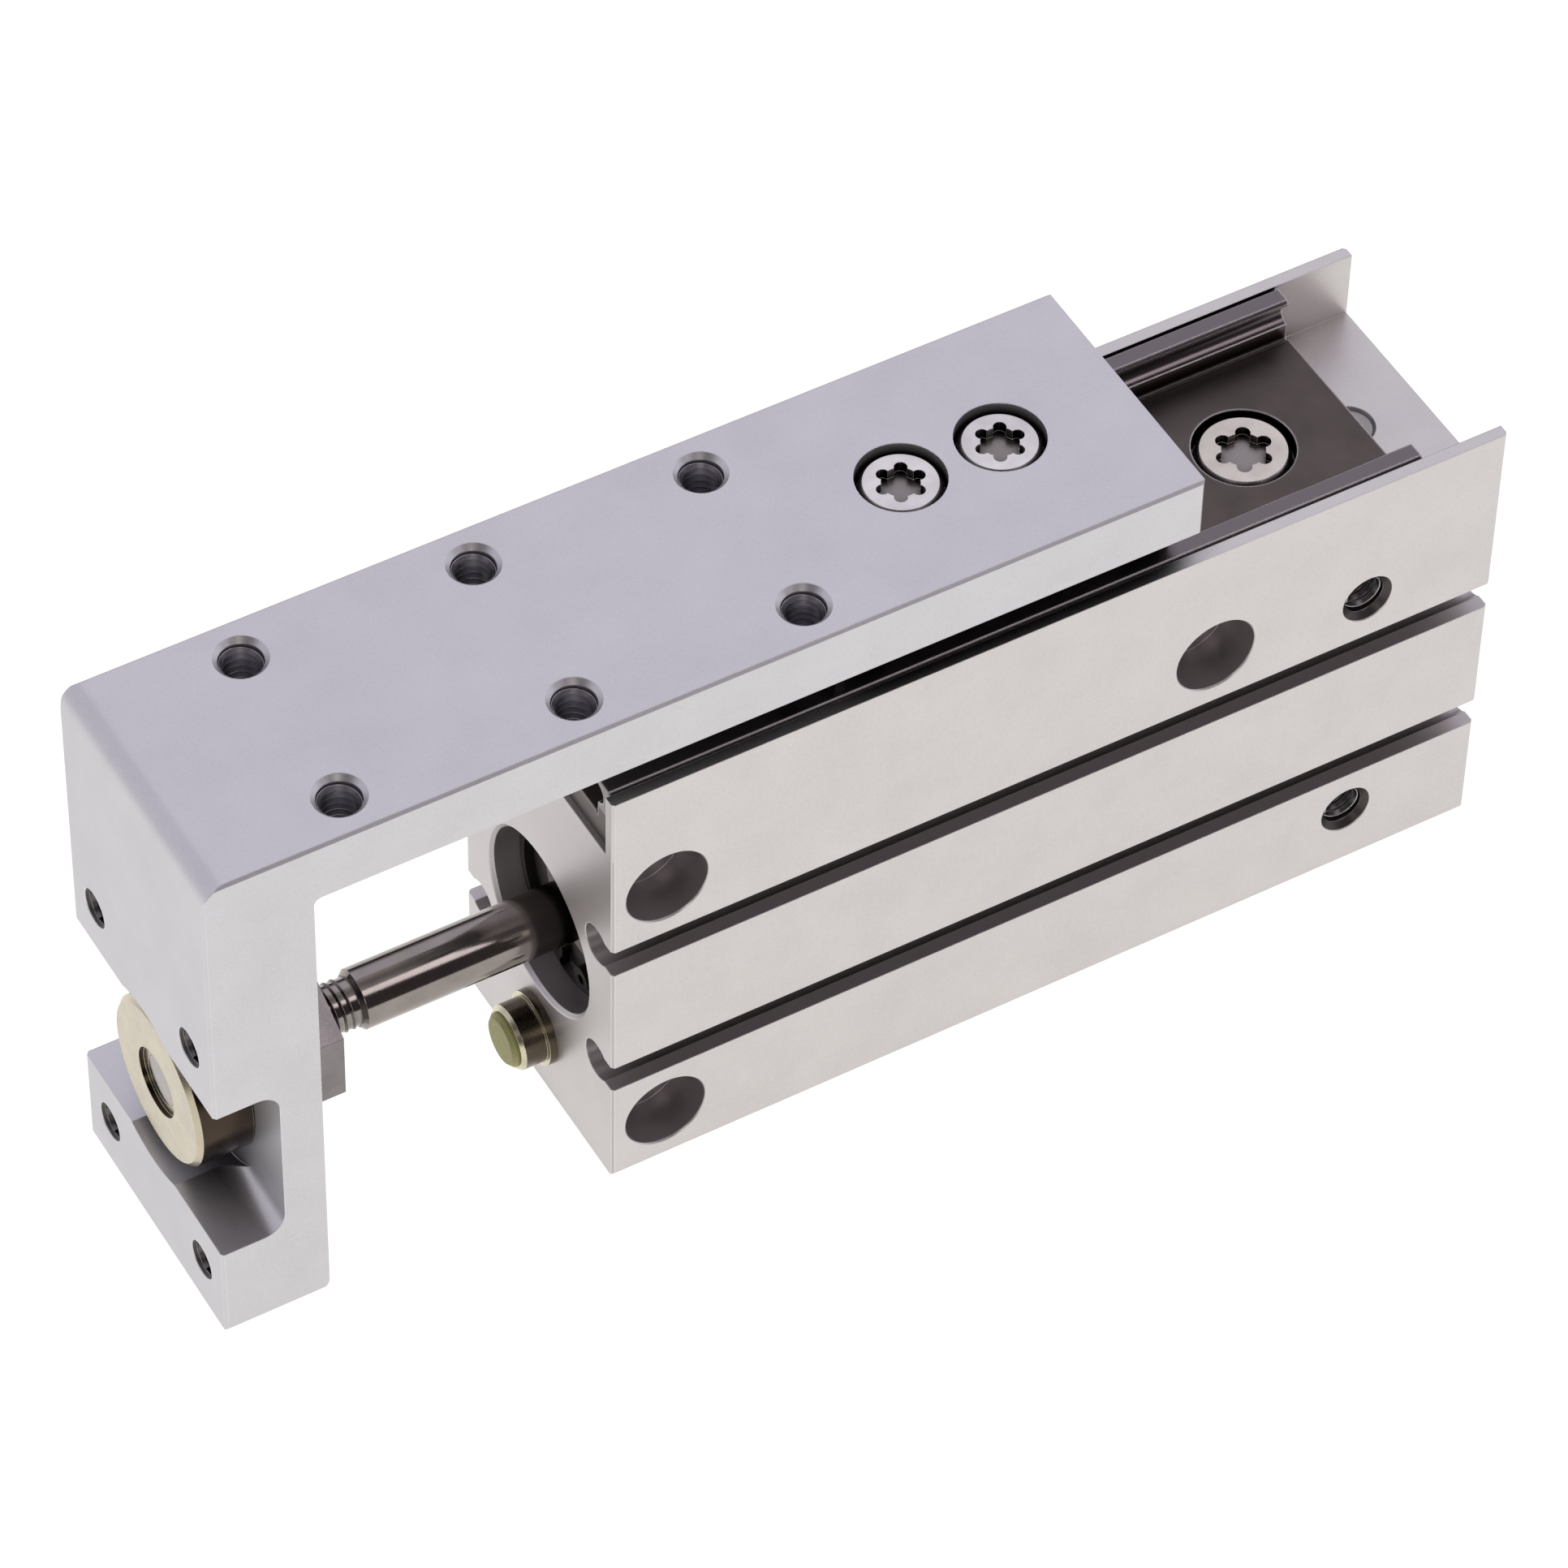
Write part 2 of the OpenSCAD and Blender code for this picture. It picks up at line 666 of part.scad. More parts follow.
module table() {
    color("#bcb9c6") difference() {
        intersection() {
            side_profile(table_half) table_profile();
            section(table_rear - eps, plate_front + eps) table_front();
            linear_extrude(table_top + eps) table_plan();
        }
        // threaded holes through the table
        for (i = [0:hole_rows - 1], side = [-1, 1]) {
            translate([plate_front - hole_first - i * hole_pitch, side * hole_span / 2, table_top])
                tapped(hole_core_d, hole_core_d + 1, table_t + eps);
        }
        // threaded holes in the end plate, blind
        for (row = [-1, 1], side = [-1, 1]) {
            translate([plate_front, side * plate_hole_y / 2, axis_z + row * plate_hole_z / 2])
                rotate([0, 90, 0]) tapped(plate_hole_core_d, plate_hole_core_d + 0.8, plate_hole_depth);
        }
        // counterbored holes for the screws into the guide block
        for (side = [-1, 1]) {
            translate([block_mid + side * table_screw_pitch / 2, 0, table_under - eps])
                cylinder(h = table_t + 2 * eps, d = screw_d + 0.4);
            translate([block_mid + side * table_screw_pitch / 2, 0, table_top - table_cbore_depth])
                cylinder(h = table_cbore_depth + eps, d = table_cbore_d);
        }
        // pocket of the round nut and clearance hole of the rod's thread
        bar(web_front, plate_front + eps, pocket_d);
        bar(plate_back - eps, plate_front, thread_d + 0.6);
    }
}

module table_screws() {
    z = table_top - table_cbore_depth;
    color("#c4c3c5") for (side = [-1, 1]) {
        translate([block_mid + side * table_screw_pitch / 2, 0, 0])
            low_screw(z, table_head_d, table_head_t, screw_d, z - table_under + block_thread_l - 0.5);
    }
}

// cross section of the guide block, its caps and scrapers
module block_outline(bevel) {
    polygon([
        [-block_half + bevel, block_bottom], [block_half - bevel, block_bottom],
        [block_half, block_bottom + bevel], [block_half, table_under],
        [-block_half, table_under], [-block_half, block_bottom + bevel]
    ]);
}

module guide_block() {
    x0 = block_mid - block_l / 2;
    x1 = block_mid + block_l / 2;
    color("#77767a") difference() {
        section(x0, x1) block_outline(0.4);
        for (side = [-1, 1]) {
            bar(x0 - eps, x1 + eps, groove_d, side * row_y, row_z);
            bar(x0 - eps, x1 + eps, groove_d, side * return_y, row_z);
            translate([block_mid + side * table_screw_pitch / 2, 0, table_under - block_thread_l])
                cylinder(h = block_thread_l + eps, d = screw_d + 2 * fit);
        }
        // threads of the cap screws
        for (side = [-1, 1]) {
            bar(x0 - eps, x0 + cap_screw_l + 0.3, cap_screw_d + 2 * fit, side * cap_screw_y, cap_screw_z);
            bar(x1 - cap_screw_l - 0.3, x1 + eps, cap_screw_d + 2 * fit, side * cap_screw_y, cap_screw_z);
        }
    }
}

// end caps turn the balls round from the loaded row to the return bore
module block_end_caps() {
    gap = 0.02;
    color("#3f5f4c") for (end = [-1, 1]) {
        x_in = block_mid + end * (block_l / 2 + gap);
        x_out = block_mid + end * (block_l / 2 + cap_t);
        difference() {
            section(min(x_in, x_out), max(x_in, x_out)) block_outline(0.6);
            for (side = [-1, 1]) {
                translate([x_in - end * gap, side * (row_y - turn_r), row_z]) rotate([0, 0, end * -90])
                    rotate_extrude(angle = 180) translate([turn_r, 0]) circle(d = groove_d, $fn = 40);
                bar(min(x_in, x_out) - eps, max(x_in, x_out) + eps, cap_screw_d + 0.3,
                    side * cap_screw_y, cap_screw_z);
            }
        }
    }
}

module block_scrapers() {
    color("#55565a") for (end = [-1, 1]) {
        x_in = block_mid + end * (block_l / 2 + cap_t);
        x_out = block_mid + end * guide_l / 2;
        difference() {
            section(min(x_in, x_out), max(x_in, x_out)) block_outline(0.6);
            for (side = [-1, 1]) {
                bar(min(x_in, x_out) - eps, max(x_in, x_out) + eps, cap_screw_d + 0.3,
                    side * cap_screw_y, cap_screw_z);
            }
        }
    }
}

module cap_screws() {
    color("#a5a3a0") for (end = [-1, 1], side = [-1, 1]) {
        translate([block_mid + end * guide_l / 2, side * cap_screw_y, cap_screw_z]) rotate([0, end * 90, 0]) {
            difference() {
                cylinder(h = cap_head_t, d1 = cap_head_d, d2 = 0.8 * cap_head_d);
                translate([-cap_head_d, -cap_slot_w / 2, cap_head_t - cap_slot_w])
                    cube([2 * cap_head_d, cap_slot_w, 1]);
            }
            translate([0, 0, -cap_t - scraper_t - cap_screw_l])
                cylinder(h = cap_t + scraper_t + cap_screw_l + 0.1, d = cap_screw_d);
        }
    }
}

// the closed path of one ball circuit, from its middle: s runs once round it
function on_loop(s) =
    let (straight = block_l, turn = PI * turn_r)
    s < straight ? [s - straight / 2, turn_r] :
    s < straight + turn ? let (a = 90 - 180 * (s - straight) / turn)
        [straight / 2 + turn_r * cos(a), turn_r * sin(a)] :
    s < 2 * straight + turn ? [straight / 2 - (s - straight - turn), -turn_r] :
    let (a = 270 - 180 * (s - 2 * straight - turn) / turn)
        [-straight / 2 + turn_r * cos(a), turn_r * sin(a)];

module guide_balls() {
    color("#d5d5d8") for (side = [-1, 1], i = [0:ball_n - 1]) {
        p = on_loop((i + 0.5) * loop_l / ball_n);
        translate([block_mid + p[0], side * (row_y - turn_r + p[1]), row_z]) sphere(d = ball_d, $fn = 24);
    }
}

module piston_rod() {
    nut_face = piston_back + piston_nut_t + 0.6;
    color("#cfcfd2") union() {
        bar(lock_nut_back, nut_back + nut_t - nut_mouth_depth, thread_d);
        bar(rod_front - 0.2, lock_nut_back + 0.1, neck_d);
        bar(piston_front + 0.5, rod_front - 0.4, rod_d);
        cone(rod_front - 0.4, rod_front, rod_d, rod_d - 0.8);
        bar(piston_front, piston_front + 0.5, rod_d);
        bar(nut_face - piston_nut_t - 0.2, piston_front + 0.1, spigot_d);
    }
}

// a hexagon nut with its rear corners turned off
module rod_lock_nut() {
    corner_d = lock_nut_af / cos(30);
    color("#6b6866") difference() {
        intersection() {
            translate([lock_nut_back, 0, axis_z]) rotate([0, 90, 0])
                cylinder(h = lock_nut_t, d = corner_d, $fn = 6);
            union() {
                cone(lock_nut_back - eps, lock_nut_back + 0.4, lock_nut_af + 0.6, corner_d + 0.1);
                bar(lock_nut_back + 0.4 - eps, lock_nut_front + eps, corner_d + 0.1);
            }
        }
        bar(lock_nut_back - eps, lock_nut_front + eps, thread_d + 2 * fit);
    }
}

module rod_nut() {
    bevel = 0.5;
    nut_front = nut_back + nut_t;
    color("#d9cf9a") difference() {
        union() {
            bar(nut_back, nut_front - bevel, nut_d);
            cone(nut_front - bevel, nut_front, nut_d, nut_d - 2 * bevel);
        }
        bar(nut_back - eps, nut_front + eps, thread_d + 2 * fit);
        // sunk mouth of the thread
        bar(nut_front - nut_mouth_depth, nut_front + eps, nut_mouth_d);
    }
}

module piston() {
    color("#a3a2a6") difference() {
        bar(piston_back, piston_front, piston_d);
        bar(piston_back - eps, piston_front + eps, spigot_d + 2 * fit);
        bar(piston_back - eps, piston_back + piston_nut_t + 0.6, nut_recess_d);
        groove(magnet_at, magnet_w, magnet_floor_d);
        groove(seal_at, seal_w, seal_floor_d);
        groove(wear_at, wear_w, wear_floor_d);
    }
}

// a groove round the piston, at a distance from its front face, down to the floor diameter
module groove(d, w, floor_d) {
    difference() {
        bar(piston_front - d - w, piston_front - d, piston_d + 1);
        bar(piston_front - d - w - eps, piston_front - d + eps, floor_d);
    }
}

// a ring that fills a piston groove
module groove_ring(d, w, floor_d, outer) {
    x1 = piston_front - d - seat;
    tube(x1 - w + 2 * seat, x1, outer, floor_d + 2 * fit);
}

module piston_nut() {
    x0 = piston_back + 0.5;
    color("#8c8a86") difference() {
        translate([x0, 0, axis_z]) rotate([0, 90, 0])
            cylinder(h = piston_nut_t, d = piston_nut_af / cos(30), $fn = 6);
        bar(x0 - eps, x0 + piston_nut_t + eps, spigot_d + 2 * fit);
    }
}

module piston_seal() {
    color("#242424") groove_ring(seal_at, seal_w, seal_floor_d, bore_d - 2 * run);
}

module piston_magnet() {
    color("#3c3a39") groove_ring(magnet_at, magnet_w, magnet_floor_d, magnet_d);
}

module piston_wear_ring() {
    color("#e6e2d6") groove_ring(wear_at, wear_w, wear_floor_d, bore_d - 3 * run);
}

module piston_cushions() {
    color("#2b2b2b") {
        tube(piston_front, piston_front + cushion_t, bore_d - 3, rod_d + 1);
        tube(piston_back - cushion_t, piston_back, bore_d - 3, nut_recess_d + 0.6);
    }
}

cylinder_body();
guide_rail();
rail_screws();
rod_cover();
rod_bush();
rod_seal();
rod_cover_o_ring();
front_retaining_ring();
head_cover();
head_cover_o_ring();
rear_retaining_ring();
stop_bolt();
stop_pad();
gallery_plugs();
table();
table_screws();
guide_block();
block_end_caps();
block_scrapers();
cap_screws();
guide_balls();
piston_rod();
rod_lock_nut();
rod_nut();
piston();
piston_nut();
piston_seal();
piston_magnet();
piston_wear_ring();
piston_cushions();
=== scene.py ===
"""Dresses the slide table: a finish for every part of the frame, threads, and the stage with its camera."""

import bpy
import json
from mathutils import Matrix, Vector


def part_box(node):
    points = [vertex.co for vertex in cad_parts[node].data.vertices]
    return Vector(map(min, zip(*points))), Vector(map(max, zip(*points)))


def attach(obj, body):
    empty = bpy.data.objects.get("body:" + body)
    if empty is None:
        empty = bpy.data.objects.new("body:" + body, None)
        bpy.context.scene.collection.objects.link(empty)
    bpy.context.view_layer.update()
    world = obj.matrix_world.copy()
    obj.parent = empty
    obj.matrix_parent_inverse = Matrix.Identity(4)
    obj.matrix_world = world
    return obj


bl_info = {
    "name": "Slide table dresser",
    "version": (1, 0, 0),
    "blender": (4, 5, 0),
    "location": "3D View > Sidebar > Slide table",
    "description": "Finishes, threads and stage of a pneumatic slide table",
    "category": "Object",
}

import json
import math

import bpy
from mathutils import Matrix, Vector

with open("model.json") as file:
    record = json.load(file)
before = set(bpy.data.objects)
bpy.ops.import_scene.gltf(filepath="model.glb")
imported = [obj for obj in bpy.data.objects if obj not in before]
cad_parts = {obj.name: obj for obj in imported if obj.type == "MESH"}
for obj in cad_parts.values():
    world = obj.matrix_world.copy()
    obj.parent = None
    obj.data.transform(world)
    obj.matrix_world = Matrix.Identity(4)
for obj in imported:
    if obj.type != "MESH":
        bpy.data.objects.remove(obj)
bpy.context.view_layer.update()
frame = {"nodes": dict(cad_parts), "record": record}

MM = 0.001
BODY = "body"
SLIDE = "slide"
PORTS = ("port_upper", "port_lower")

# threads: the cut length of each, the radius of its ridge's section, and how far below a face or from the
# nut it starts
TABLE_THREAD_LENGTH, TABLE_THREAD_RIDGE = 5.9 * MM, 0.3 * MM
PLATE_THREAD_LENGTH, PLATE_THREAD_RIDGE = 6.5 * MM, 0.22 * MM
PORT_THREAD_RIDGE = 0.34 * MM
ROD_THREAD_RIDGE = 0.3 * MM
THREAD_START = 0.4 * MM
NUT_TO_THREAD = 0.1 * MM
NECK_SHARE = 0.8         # the neck's diameter as a share of the rod's

# a ridge's three-sided section: its share of the pitch, how far it is sunk as a share of its radius, the
# height of such a section with a radius of 1, and the steps in one turn
RIDGE_SHARE, RIDGE_SINK, SECTION_HEIGHT, TURN_STEPS = 0.62, 0.35, 1.5, 28
SMOOTH_DEGREES = 35      # faces that meet at less than this are shaded as one

# the cosines of an edge's bend between which its face goes from whole to worn and painted with a highlight
EDGE_FADE = (0.995, 0.86)

# countersinks painted dark as shade: half the width and half the depth of the box round each, in mm, and how
# far its middle lies below the face
PORT_MOUTH, PLATE_MOUTH, MOUTH_DEPTH = 2.9, 2.3, 0.8
MOUTH_BELOW = 0.9 * MM

# the box of a screw's recess lies between these depths below its face
SOCKET_TOP, SOCKET_BOTTOM = 0.12 * MM, 2.0 * MM

# in mm, how far inside the faces the box of the body's bores ends; the box of its walls' upper faces reaches
# three times as far past them
SKIN = 0.1

# the camera: its place in metres, the directions ahead of it and on its right, how near and how far it sees
# in metres, and its sensor in mm
CAMERA_PLACE = (0.27195, 0.4173, 0.5755)
CAMERA_LOOK = (-0.34184, -0.56907, -0.74787)
CAMERA_RIGHT = (-0.86675, 0.49845, 0.01690)
CAMERA_NEAR, CAMERA_FAR, SENSOR_WIDTH = 0.05, 20.0, 36.0

# the floor is a sheet this many metres wide, just under the part, and glows enough to come out white
FLOOR_SIZE, FLOOR_Z, FLOOR_GLOW = 8.0, -0.0002, 1.02

# square lamps: name, place and width in metres, power in watts, colour
LAMPS = (
    ("overhead", (-0.27, 0.38, 0.68), 0.32, 0.75, "#fbf4fa"),
    ("key", (0.30, 0.62, 0.42), 0.22, 0.5, "#fff8f2"),
)
LAMP_AIM = (0, 0, 0.03)

# the room: the direction of its soft box, the cosines between which the box fades in, and the components of a
# direction between which the walls do
SOFT_BOX_AIM = (-0.36, -0.57, 0.74)
SOFT_BOX_FADE = (0.80, 0.93)
FRONT_WALL_FADE = (-0.8, -0.6)
REAR_WALL_FADE, REAR_WALL_SIDE_FADE, REAR_WALL_LIGHT = (-0.12, 0.12), (-0.2, 0.2), 0.8
ROOM_STRENGTH = 1.08


# ---------------------------------------------------------------- colour and nodes

def linear(hex_colour):
    """An sRGB hex colour such as "#c8c4cc" as a linear RGBA."""
    channels = [int(hex_colour[i:i + 2], 16) / 255 for i in (1, 3, 5)]
    return [c / 12.92 if c <= 0.04045 else ((c + 0.055) / 1.055) ** 2.4 for c in channels] + [1.0]


def dimmed(hex_colour, share):
    """An sRGB hex colour as a linear RGBA with a share of its light."""
    return [c * share for c in linear(hex_colour)[:3]] + [1.0]


def add_node(tree, kind, settings=None, values=None, links=None):
    """One node with its settings, its sockets' values and what feeds them."""
    made = tree.nodes.new(kind)
    for name, value in (settings or {}).items():
        setattr(made, name, value)
    for socket, value in (values or {}).items():
        made.inputs[socket].default_value = value
    for socket, source in (links or {}).items():
        tree.links.new(source, made.inputs[socket])
    return made


def new_material(name):
    """An empty node material; returns it with its tree and the Object coordinates."""
    material = bpy.data.materials.new(name)
    material.use_nodes = True
    tree = material.node_tree
    tree.nodes.clear()
    place = add_node(tree, "ShaderNodeTexCoord").outputs["Object"]
    return material, tree, place


def finish_material(tree, colour, normal, roughness, wear_and_highlight=None, metallic=(1.0, 0.25), values=None):
    """The surface shader at the end of a material's nodes; a metal's broken edges scatter light, so it is
    metallic[0] metal on its faces and metallic[1] on its edges, which are worn and carry a painted highlight."""
    links = {"Base Color": colour, "Normal": normal, "Roughness": roughness}
    if wear_and_highlight is not None:
        links["Metallic"] = spread(tree, wear_and_highlight, metallic[0], metallic[1], 0.0, 1.0)
    shader = add_node(tree, "ShaderNodeBsdfPrincipled", values=values, links=links)
    add_node(tree, "ShaderNodeOutputMaterial", links={"Surface": shader.outputs["BSDF"]})


def noise(tree, place, size_mm, detail=2.0, stretch=(1, 1, 1), offset=0.0):
    """Noise whose lumps are size_mm wide, drawn out along an axis by stretch."""
    scale = [1 / (size_mm * MM * s) for s in stretch]
    mapping = add_node(tree, "ShaderNodeMapping", values={"Scale": scale, "Location": (offset,) * 3},
                       links={"Vector": place})
    texture = add_node(tree, "ShaderNodeTexNoise", values={"Scale": 1.0, "Detail": detail, "Roughness": 0.55},
                       links={"Vector": mapping.outputs["Vector"]})
    return texture.outputs["Fac"]


def spread(tree, value, low, high, start=0.3, stop=0.7):
    """Maps start..stop of a value, at first a texture's middle range, to low..high."""
    mapped = add_node(tree, "ShaderNodeMapRange", {"clamp": True},
                      {"From Min": start, "From Max": stop, "To Min": low, "To Max": high}, {"Value": value})
    return mapped.outputs["Result"]


def blend_colours(tree, factor, first, second):
    """Two colours mixed by a factor."""
    mix = add_node(tree, "ShaderNodeMix", {"data_type": "RGBA"}, links={0: factor})
    for socket, colour in ((6, first), (7, second)):
        if isinstance(colour, bpy.types.NodeSocket):
            tree.links.new(colour, mix.inputs[socket])
        else:
            mix.inputs[socket].default_value = colour
    return mix.outputs[2]


def soft_edges(tree, radius_mm):
    """The normal of slightly rounded edges, and a mask that is 1 on them."""
    rounded = add_node(tree, "ShaderNodeBevel", {"samples": 6}, {"Radius": radius_mm * MM}).outputs["Normal"]
    flat = add_node(tree, "ShaderNodeNewGeometry").outputs["Normal"]
    likeness = add_node(tree, "ShaderNodeVectorMath", {"operation": "DOT_PRODUCT"},
                        links={0: rounded, 1: flat})
    return rounded, spread(tree, likeness.outputs["Value"], 0.0, 1.0, *EDGE_FADE)


def shade_recesses(tree, tone, reach_mm, dark, closed=0.30, clear=0.86):
    """The tone darkened with painted shade where walls stand within reach around a point: bores, slots and
    counterbores. It is all dark where only the share closed of the view is free, and keeps its tone from the
    share clear."""
    openness = add_node(tree, "ShaderNodeAmbientOcclusion", {"samples": 12},
                        {"Distance": reach_mm * MM}).outputs["AO"]
    return blend_colours(tree, spread(tree, openness, 1, 0, closed, clear), tone, dark)


def bump(tree, height, strength, depth_mm, normal):
    """Bump from a height of 0..1, depth_mm deep, on top of a normal."""
    made = add_node(tree, "ShaderNodeBump", values={"Strength": strength, "Distance": depth_mm * MM},
                    links={"Height": height, "Normal": normal})
    return made.outputs["Normal"]


def inside_box(tree, place, low, high):
    """1 within a box of Object coordinates, 0 outside it."""
    part = add_node(tree, "ShaderNodeSeparateXYZ", links={"Vector": place}).outputs
    inside = None
    for axis, start, stop in zip("XYZ", low, high):
        middle, half = (start + stop) / 2, (stop - start) / 2
        offset = add_node(tree, "ShaderNodeMath", {"operation": "SUBTRACT"}, {1: middle}, {0: part[axis]})
        away = add_node(tree, "ShaderNodeMath", {"operation": "ABSOLUTE"}, links={0: offset.outputs["Value"]})
        within = add_node(tree, "ShaderNodeMath", {"operation": "LESS_THAN"}, {1: half},
                          {0: away.outputs["Value"]})
        inside = within if inside is None else add_node(
            tree, "ShaderNodeMath", {"operation": "MULTIPLY"},
            links={0: inside.outputs["Value"], 1: within.outputs["Value"]})
    return inside.outputs["Value"]


def tone_in_box(tree, place, box, tone, inner):
    """The inner tone within a box of Object coordinates, and the other outside it."""
    return blend_colours(tree, inside_box(tree, place, *box), tone, inner)


# ---------------------------------------------------------------- materials

def anodised_aluminium(name, colour, edge, drawn=0.0, roughness=(0.34, 0.42), bored_shade=None, shaded_mouths=(),
                       rims=None):
    """Clear anodised aluminium, blasted or brushed before anodising: an even satin grey with a fine sparkle,
    faint die lines along an extrusion, and a lighter line on the edges, partly wear and partly a painted
    highlight. Bores and slots within their box get a duller grey, partly bare machined metal and partly
    painted shade, and countersinks within the boxes round them are painted dark as shade. The walls' upper
    faces, in the box rims, get painted shade where the table covers them, and all recesses get painted shade
    from the walls nearby."""
    material, tree, place = new_material(name)
    rounded, wear_and_highlight = soft_edges(tree, radius_mm=0.14)
    # a blasted grain is 0.05 mm and a die line 0.1 mm; both are drawn coarser so that they show
    grain = noise(tree, place, size_mm=0.16, detail=3)
    cloud = noise(tree, place, size_mm=7.0, detail=3, offset=3.0)
    normal = bump(tree, grain, strength=0.30, depth_mm=0.012, normal=rounded)
    if drawn:
        lines = noise(tree, place, size_mm=0.22, detail=2, stretch=(160, 1, 1), offset=11.0)
        normal = bump(tree, lines, strength=drawn, depth_mm=0.012, normal=normal)
    tone = blend_colours(tree, spread(tree, cloud, 0, 1), dimmed(colour, 0.93), linear(colour))
    speckle = blend_colours(tree, spread(tree, grain, 0.0, 0.22), tone, linear(edge))
    # how near walls stand that count for the painted shade: in bores, slots and the channel, and in fine gaps
    deep_mm, fine_mm = 7.0, 1.2
    # painted shade in bores, slots and the channel
    tone = shade_recesses(tree, speckle, deep_mm, linear("#6c6866"), closed=0.12, clear=0.5)
    # bores and slots: a duller grey, partly bare machined metal and partly painted shade
    if bored_shade:
        tone = tone_in_box(tree, place, bored_shade, tone, linear("#bab4b5"))
    # countersinks painted dark as shade
    for box in shaded_mouths:
        tone = tone_in_box(tree, place, box, tone, linear("#4c4645"))
    # painted shade on the walls' upper faces where the table covers them
    if rims:
        cover_shade = shade_recesses(tree, tone, deep_mm, linear("#161413"), closed=0.5, clear=0.85)
        tone = tone_in_box(tree, place, rims, tone, cover_shade)
    # more painted shade deep in holes and slots, then in fine gaps
    tone = shade_recesses(tree, tone, deep_mm, linear("#141211"), closed=0.06, clear=0.3)
    tone = shade_recesses(tree, tone, fine_mm, linear("#1c1a19"), closed=0.1, clear=0.4)
    # lighter edges: partly wear, partly a painted highlight
    tone = blend_colours(tree, wear_and_highlight, tone, linear(edge))
    finish_material(tree, tone, normal, spread(tree, grain, *roughness), wear_and_highlight, metallic=(0.8, 0.65),
                    values={"Specular Tint": linear("#e8e8ea")})
    return material


def turned_metal(name, colour, roughness, grain_mm=0.2, lines=0.0, edge="#e6e4e2", depth=0.2, edge_mm=0.08,
                 recess_mm=2.5, sockets=None):
    """Turned, ground or cut metal, mostly steel: a fine grain, painted shade in its recesses, and bright
    edges that are partly wear and partly a painted highlight. A screw's recess, within the box sockets, is
    coloured a duller grey."""
    material, tree, place = new_material(name)
    rounded, wear_and_highlight = soft_edges(tree, edge_mm)
    # turning and grinding marks are about 0.03 mm; both are drawn coarser so that they show
    grain = noise(tree, place, grain_mm, detail=3)
    cloud = noise(tree, place, size_mm=3.0, detail=2, offset=5.0)
    normal = bump(tree, grain, strength=depth, depth_mm=0.01, normal=rounded)
    if lines:
        ground = noise(tree, place, size_mm=0.12, detail=2, stretch=(120, 1, 1), offset=7.0)
        normal = bump(tree, ground, strength=lines, depth_mm=0.01, normal=normal)
    tone = blend_colours(tree, spread(tree, cloud, 0, 1), dimmed(colour, 0.8), linear(colour))
    if sockets:
        tone = tone_in_box(tree, place, sockets, tone, linear("#8e8885"))
    # painted shade in recesses
    tone = shade_recesses(tree, tone, recess_mm, linear("#1e1b1a"))
    # lighter edges: partly wear, partly a painted highlight
    tone = blend_colours(tree, wear_and_highlight, tone, linear(edge))
    finish_material(tree, tone, normal, spread(tree, grain, roughness - 0.04, roughness + 0.04), wear_and_highlight)
    return material


def ground_rail(name, colour, ground, half_trough, floor):
    """Guide rail steel: blackened floor, side walls ground bright where the balls run, painted shade in
    recesses.
    """
    material, tree, place = new_material(name)
    rounded, wear_and_highlight = soft_edges(tree, radius_mm=0.3)
    # grinding lines are about 0.03 mm apart; drawn coarser so that they show
    grain = noise(tree, place, size_mm=0.2, detail=3)
    lines = noise(tree, place, size_mm=0.12, detail=2, stretch=(140, 1, 1), offset=7.0)
    normal = bump(tree, grain, strength=0.2, depth_mm=0.01, normal=rounded)
    normal = bump(tree, lines, strength=0.25, depth_mm=0.01, normal=normal)
    # the bright steel starts this near the trough's edge, and between these heights over its floor
    edge_half, ground_from, ground_to = 0.1 * MM, 0.5 * MM, 0.8 * MM
    part = add_node(tree, "ShaderNodeSeparateXYZ", links={"Vector": place}).outputs
    side = add_node(tree, "ShaderNodeMath", {"operation": "ABSOLUTE"}, links={0: part["Y"]}).outputs["Value"]
    walls = add_node(tree, "ShaderNodeMath", {"operation": "MULTIPLY"}, links={
        0: spread(tree, side, 0, 1, half_trough - edge_half, half_trough + edge_half),
        1: spread(tree, part["Z"], 0, 1, floor + ground_from, floor + ground_to)}).outputs["Value"]
    cloud = noise(tree, place, size_mm=4.0, detail=3, offset=5.0)
    black = blend_colours(tree, spread(tree, cloud, 0, 1), linear(colour), dimmed(colour, 0.8))
    # painted shade darkens the lands under the table; they stay light in the open
    shaded_lands = shade_recesses(tree, linear(ground), reach_mm=5.0, dark=linear("#0c0a0a"), closed=0.25,
                           clear=0.55)
    tone = blend_colours(tree, walls, black, shaded_lands)
    # painted shade in the trough's corners and gaps
    tone = shade_recesses(tree, tone, reach_mm=2.2, dark=linear("#141110"), closed=0.25, clear=0.8)
    # lighter edges: partly wear, partly a painted highlight
    tone = blend_colours(tree, wear_and_highlight, tone, linear("#efe8e8"))
    finish_material(tree, tone, normal, spread(tree, walls, 0.38, 0.22, 0.0, 1.0), wear_and_highlight)
    return material


